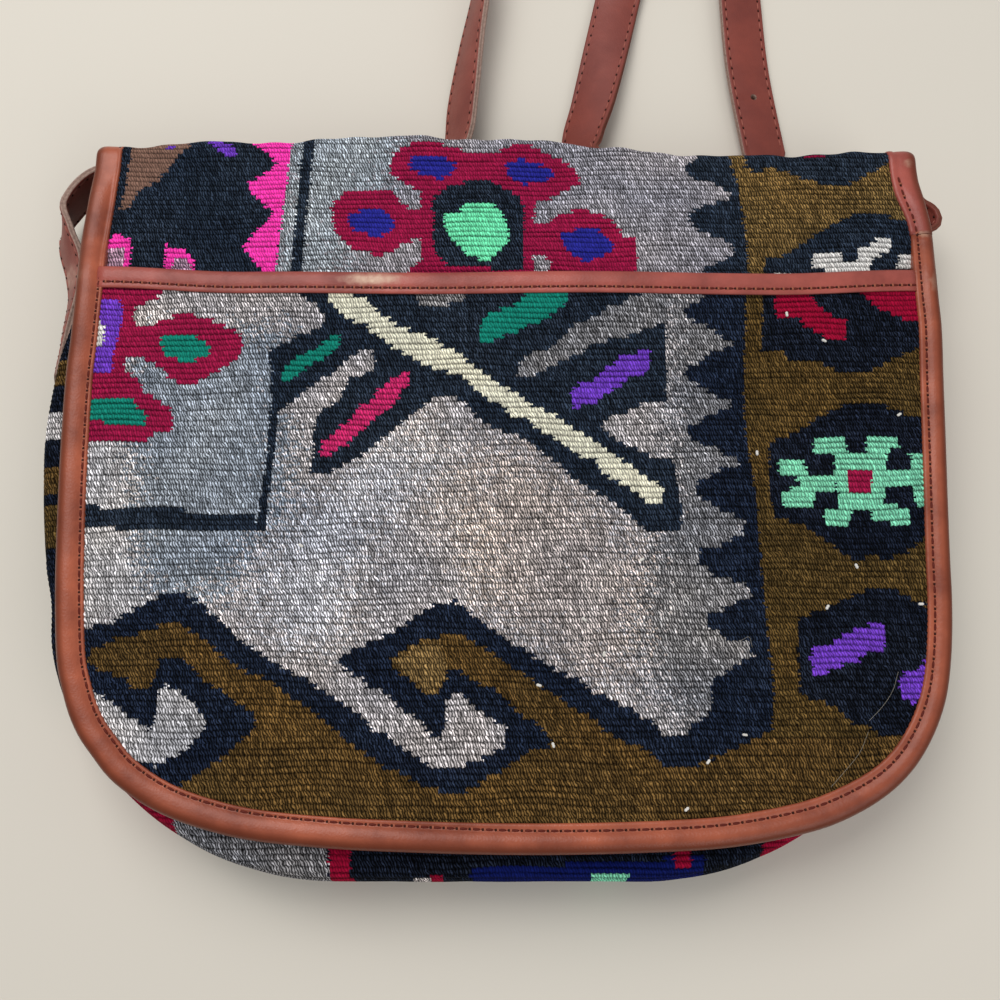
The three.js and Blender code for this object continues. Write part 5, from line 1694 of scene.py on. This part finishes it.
def buckle_eye(name):
    """The strap's end turned round the bar: two ears, with a slot between them for the prong."""
    angles = np.linspace(0, 2 * math.pi, EYE_SIDES + 1)[:-1]
    slope = (EYE_OUTER - STRAP_THICK / 2) / EYE_BACK
    reach = []
    for angle in angles:
        c, s = math.cos(angle), abs(math.sin(angle))
        reach.append(EYE_OUTER if c >= 0 else min(EYE_BACK / -c, EYE_OUTER / (s - slope * c)))
    points, faces = [], []
    for low, high in ((-half_strap, -SLOT_HALF), (SLOT_HALF, half_strap)):
        first = len(points)
        for x in (low, high):
            for radius in ([EYE_INNER] * EYE_SIDES, reach):
                points += [(BAR_X + x, BAR_Y + r * math.cos(a), BAR_Z + r * math.sin(a))
                           for r, a in zip(radius, angles)]
        for i in range(EYE_SIDES):
            j = (i + 1) % EYE_SIDES
            for a, b in ((0, 1), (1, 3), (3, 2), (2, 0)):
                here, there = first + a * EYE_SIDES, first + b * EYE_SIDES
                faces.append((here + i, here + j, there + j, there + i))
    return face_outwards(make_piece(name, points, faces, STRAP_LEATHER))


strap_eye = buckle_eye("strap_eye")
print("short strap", round(float(short_line[3][-1])), "mm")

# %% [markdown]
# ## Keeper and buckle
# The keeper is a leather loop that holds the strap's tip. The buckle is cast brass, and its prong turns on
# the bar. Both could be drawn anew, but the prong has to turn about the frame's hinge. So the brass is a copy
# of the frame's solids with its edges worn round, and the keeper takes its size from the solid it dresses.

# %% Keeper
KEEPER_THICK, KEEPER_CORNER, KEEPER_BEVEL = 1.6, 2.0, 0.4
QUARTER_STEPS = 8


def keeper_loop(name):
    """A leather loop round the strap, its corners softened by use."""
    low, high = (np.array(corner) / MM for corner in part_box("strap_keeper"))
    middle, size = (low + high) / 2, high - low
    wide, tall = (size[axis] / 2 - KEEPER_THICK / 2 - KEEPER_CORNER for axis in (0, 2))
    loop = []
    for sx, sz, begin in ((1, 1, 0), (-1, 1, 90), (-1, -1, 180), (1, -1, 270)):
        for turn in np.radians(np.linspace(begin, begin + 90, QUARTER_STEPS)):
            loop.append((middle[0] + sx * wide + KEEPER_CORNER * math.cos(turn),
                         middle[2] + sz * tall + KEEPER_CORNER * math.sin(turn)))
    loop = np.array(loop)
    ahead = unit(np.roll(loop, -1, 0) - np.roll(loop, 1, 0))
    out = np.stack([ahead[:, 1], -ahead[:, 0]], -1)
    t, edge, bevel = KEEPER_THICK / 2, size[1] / 2, KEEPER_BEVEL
    section = [(-edge, -t), (-edge, t - bevel), (-edge + bevel, t),
               (edge - bevel, t), (edge, t - bevel), (edge, -t)]
    points = [(p[0] + o[0] * h, middle[1] + along, p[1] + o[1] * h)
              for p, o in zip(loop, out) for along, h in section]
    faces = tube_faces(len(loop), len(section), closed=True)
    return face_outwards(make_piece(name, points, faces, STRAP_LEATHER))


keeper_leather = keeper_loop("keeper_leather")
print("keeper", len(keeper_leather.data.polygons), "faces")

# %% Buckle
RING_WORN, TONGUE_WORN = 0.9, 0.35
FLAT_ANGLE, EDGE_ANGLE, SMOOTH_ANGLE = math.radians(2), math.radians(40), math.radians(35)


def cast_copy(name, node, bevel):
    """A copy of a frame solid with its sharp edges worn round, as on a cast and tumbled buckle."""
    mesh = frame["nodes"][node].data.copy()
    mesh.name = name
    shell = bmesh.new()
    shell.from_mesh(mesh)
    bmesh.ops.remove_doubles(shell, verts=shell.verts, dist=TINY)
    bmesh.ops.dissolve_limit(shell, angle_limit=FLAT_ANGLE, verts=shell.verts, edges=shell.edges)
    shell.to_mesh(mesh)
    shell.free()
    mesh.materials.clear()
    mesh.materials.append(BRASS)
    piece = put(name, mesh)
    rounding = piece.modifiers.new("worn edges", "BEVEL")
    rounding.width = bevel * MM
    rounding.segments = 3
    rounding.limit_method = "ANGLE"
    rounding.angle_limit = EDGE_ANGLE
    finished(piece)
    piece.data.polygons.foreach_set("use_smooth", np.ones(len(piece.data.polygons), bool))
    piece.data.set_sharp_from_angle(angle=SMOOTH_ANGLE)
    return piece


buckle_ring = cast_copy("buckle_ring", "buckle_frame", RING_WORN)
buckle_tongue = cast_copy("buckle_tongue", "buckle_prong", TONGUE_WORN)
print("buckle", len(buckle_ring.data.polygons) + len(buckle_tongue.data.polygons), "faces")

# %% [markdown]
# ## Stitches
# The bindings and the straps are sewn with waxed thread: an awl hole, then a stitch that dips into the next
# hole. There are over a thousand of them along long curves, so a small Geometry Nodes tree lays one shape at
# an even pitch along any line: the threads, a dark shape of painted shade in each hole and the leather
# pinched beside them.

# %% A tree that lays stitches along a line
def stitch_tree():
    """Resamples the lines at the pitch and puts one long, round shape on each point, along the line."""
    tree = bpy.data.node_groups.new("stitches along a line", "GeometryNodeTree")
    sockets = {}
    tree.interface.new_socket("Geometry", in_out="INPUT", socket_type="NodeSocketGeometry")
    for name, value in (("Pitch", 5.0), ("Length", 4.0), ("Width", 0.8), ("Radius", 0.4), ("Shift", 0.0)):
        socket = tree.interface.new_socket(name, in_out="INPUT", socket_type="NodeSocketFloat")
        socket.default_value = value * MM
        sockets[name] = socket.identifier
    material = tree.interface.new_socket("Material", in_out="INPUT", socket_type="NodeSocketMaterial")
    sockets["Material"] = material.identifier
    tree.interface.new_socket("Geometry", in_out="OUTPUT", socket_type="NodeSocketGeometry")
    given = add(tree, "NodeGroupInput").outputs
    line = add(tree, "GeometryNodeMeshToCurve", {"Mesh": given["Geometry"]})
    points = add(tree, "GeometryNodeResampleCurve", {"Curve": line, "Length": given["Pitch"]}, mode="LENGTH")
    ball = add(tree, "GeometryNodeMeshUVSphere", {"Segments": 8, "Rings": 5, "Radius": 1.0})
    halves = [add(tree, "ShaderNodeMath", [given[name], 0.5], operation="MULTIPLY")
              for name in ("Length", "Width")]
    size = add(tree, "ShaderNodeCombineXYZ", [*halves, given["Radius"]])
    shift = add(tree, "ShaderNodeCombineXYZ", [given["Shift"]])
    shape = add(tree, "GeometryNodeTransform", {"Geometry": ball, "Scale": size, "Translation": shift})
    tangent = add(tree, "GeometryNodeInputTangent")
    turn = add(tree, "FunctionNodeAlignRotationToVector", {"Vector": tangent}, axis="X")
    placed = add(tree, "GeometryNodeInstanceOnPoints",
                 {"Points": points, "Instance": shape, "Rotation": turn})
    real = add(tree, "GeometryNodeRealizeInstances", [placed])
    smooth = add(tree, "GeometryNodeSetShadeSmooth", [real])
    coloured = add(tree, "GeometryNodeSetMaterial", {0: smooth, "Material": given["Material"]})
    add(tree, "NodeGroupOutput", [coloured])
    return tree, sockets


STITCHES, STITCH_SOCKETS = stitch_tree()
print(STITCHES.name, len(STITCHES.nodes), "nodes")


# %% Stitches as a plain mesh
def lay_stitches(name, lines, material, **sizes):
    """Lays the shapes along the lines, given in millimetres, and keeps the plain mesh."""
    points, edges = [], []
    for path in lines:
        edges += [(len(points) + i, len(points) + i + 1) for i in range(len(path) - 1)]
        points += [tuple(place * MM) for place in path]
    mesh = bpy.data.meshes.new(name)
    mesh.from_pydata(points, edges, [])
    piece = put(name, mesh)
    layer = piece.modifiers.new("stitches", "NODES")
    layer.node_group = STITCHES
    for size, value in sizes.items():
        layer[STITCH_SOCKETS[size]] = value * MM
    layer[STITCH_SOCKETS["Material"]] = material
    finished(piece)
    print(name, len(piece.data.polygons), "faces")
    return piece


# %% Lines to sew along
FOLD_CLEAR = 6.0
BAND_SEW_HEIGHT = 0.95
END_UNSEWN, TIP_UNSEWN = 3.0, 16.0
on_flap = around[0][:, 1] < FOLD_START - FOLD_CLEAR
on_flap &= (around[0][:, 2] > BODY_DEPTH) & ((around[0][:, 0] > 0) | (around[0][:, 1] < BAND_HIGH))
edge_line = stitch_line(around)[on_flap]
joint_flat = joint[0][:, 1] < FOLD_START - FOLD_CLEAR
joint_line = stitch_line(joint)[joint_flat]
band_line = (band_origins + [0, BAND_STITCH, BAND_SEW_HEIGHT])[1:-1]
edge_lines = [edge_line, joint_line]


def strap_lines(line, first, last):
    """Four lines of sewing along a strap: both edges, on both faces."""
    centre, across, face, run = line
    sewn = (run > first) & (run < run[-1] - last)
    return [(centre + across * side * (half_strap - SEW_INSET) + face * up * (half_thick - SEW_SINK))[sewn]
            for side in (-1, 1) for up in (-1, 1)]


sewn_lines = strap_lines(long_line, END_UNSEWN, TIP_UNSEWN) + strap_lines(short_line, END_UNSEWN, END_UNSEWN)
print("lines to sew along the straps:", len(sewn_lines))

# %% Threads and the painted shade of the awl holes
SEAMS = {"edge": (edge_lines, 4.9), "band": ([band_line], 3.9)}
STRAP_PITCH = 5.4
THREAD_SHARE = 0.7
flap_sewing = []
for seam, (lines, pitch) in SEAMS.items():
    flap_sewing += [
        lay_stitches(f"{seam}_threads", lines, BINDING_THREAD, Pitch=pitch,
                     Length=pitch * THREAD_SHARE, Width=1.15, Radius=0.5, Shift=pitch / 2),
        lay_stitches(f"{seam}_pinches", lines, PINCHED, Pitch=pitch,
                     Length=1.1, Width=2.0, Radius=0.5, Shift=0.8),
        # Each awl hole is a dark shape of painted shade.
        lay_stitches(f"{seam}_holes", lines, AWL_HOLE_SHADE, Pitch=pitch,
                     Length=1.2, Width=1.1, Radius=0.6, Shift=0)]
strap_threads = lay_stitches("strap_threads", sewn_lines, STRAP_THREAD, Pitch=STRAP_PITCH,
                             Length=4.2, Width=0.8, Radius=0.38, Shift=STRAP_PITCH / 2)
strap_hole_shades = lay_stitches("strap_hole_shades", sewn_lines, AWL_HOLE_SHADE, Pitch=STRAP_PITCH,
                           Length=1.25, Width=1.1, Radius=0.42, Shift=0)

# %% [markdown]
# ## Loose wool
# Hand-spun wool sheds, so a few white knots and hairs sit on the pocket. Scattering would put them anywhere.
# These have their own places, and the stitch tree lays them along short lines.

# %% Loose wool on the pocket
KNOTS_SEEN = """
    920,604 827,608 857,567 746,735 709,761 553,744 538,685 686,810 787,315 825,341 900,414 757,452
    300,545 641,560 604,655 585,620"""
HAIRS_SEEN = ["898,673 893,690 883,706 870,720", "868,733 860,752 846,770 832,786",
              "612,640 622,652 636,648 641,634 630,628", "742,640 749,637 752,646"]
KNOT_LENGTH = 0.8
KNOT_LIFT, HAIR_LIFT = 0.1, 0.5
HAIR_STEPS = 12


def on_pocket(across, down, lift):
    """The place on the pocket's cloth that shows at a pixel."""
    x, y = from_photo(across, down, POCKET_GUESS)
    x, y = from_photo(across, down, pocket_top(x, y) + lift)
    return np.array([x, y, pocket_top(x, y) + lift])


knots = [on_pocket(*pixel, KNOT_LIFT) for pixel in trace(KNOTS_SEEN)]
knot_lines = [np.array([knot, knot + [KNOT_LENGTH * math.cos(i), KNOT_LENGTH * math.sin(i), KNOT_LIFT]])
              for i, knot in enumerate(knots)]
hair_stops = [np.array([on_pocket(*pixel, HAIR_LIFT) for pixel in trace(hair)]) for hair in HAIRS_SEEN]
hair_lines = [np.array([through(stops, share) for share in np.linspace(0, 1, HAIR_STEPS * len(stops))])
              for stops in hair_stops]
loose_wool = [
    lay_stitches("wool_knots", knot_lines, LOOSE_WOOL, Pitch=KNOT_LENGTH * 0.6,
                 Length=1.5, Width=1.25, Radius=0.5, Shift=0),
    lay_stitches("wool_hairs", hair_lines, LOOSE_HAIR, Pitch=0.8,
                 Length=1.3, Width=0.11, Radius=0.05, Shift=0)]

# %% [markdown]
# ## Riding and hiding
# Each piece now rides the body it is sewn to, and the frame's solids that it dresses are hidden. The cloth
# and bindings that cross the fold ride no body.

# %% Riding and what each piece replaces
for piece in (flap_cloth, edge_binding, binding_joint):
    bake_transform(piece)
for piece in (pocket_cloth, pocket_band, flap_lining_cloth, *flap_sewing, *loose_wool):
    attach(piece, "flap")
for piece in (front_cloth, gusset_cloth, back_cloth, mouth_band, pouch_lining, wall_lining,
              long_strap_leather, short_strap_leather, strap_eye, keeper_leather, buckle_ring,
              strap_threads, strap_hole_shades):
    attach(piece, "bag")
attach(buckle_tongue, "prong")

DRESSED = {
    "kilim_flap": [(flap_cloth, ["flap_kilim"]), (pocket_cloth, ["flap_pocket_panel"])],
    "kilim_body": [(front_cloth, ["front_panel"]), (gusset_cloth, ["gusset"]), (back_cloth, ["back_panel"])],
    "binding_leather": [(edge_binding, ["flap_edge_binding", "wall_binding_left"]),
                        (binding_joint, ["flap_binding_joint", "wall_binding_right"]),
                        (pocket_band, ["pocket_mouth_binding"]), (mouth_band, ["mouth_binding"])],
    "cotton_lining": [(flap_lining_cloth, ["flap_lining"]), (pouch_lining, ["lining"]), (wall_lining, [])],
    "strap_leather": [(long_strap_leather, ["long_strap"]), (short_strap_leather, ["short_strap"]),
                      (strap_eye, []), (keeper_leather, ["strap_keeper"])],
    "buckle_brass": [(buckle_ring, ["buckle_frame"]), (buckle_tongue, ["buckle_prong"])],
}
for slot_name, dressed in DRESSED.items():
    for piece, nodes in dressed:
        if nodes:
            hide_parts(*nodes)
print("dressed:", ", ".join(DRESSED))

# %% End
print("done")
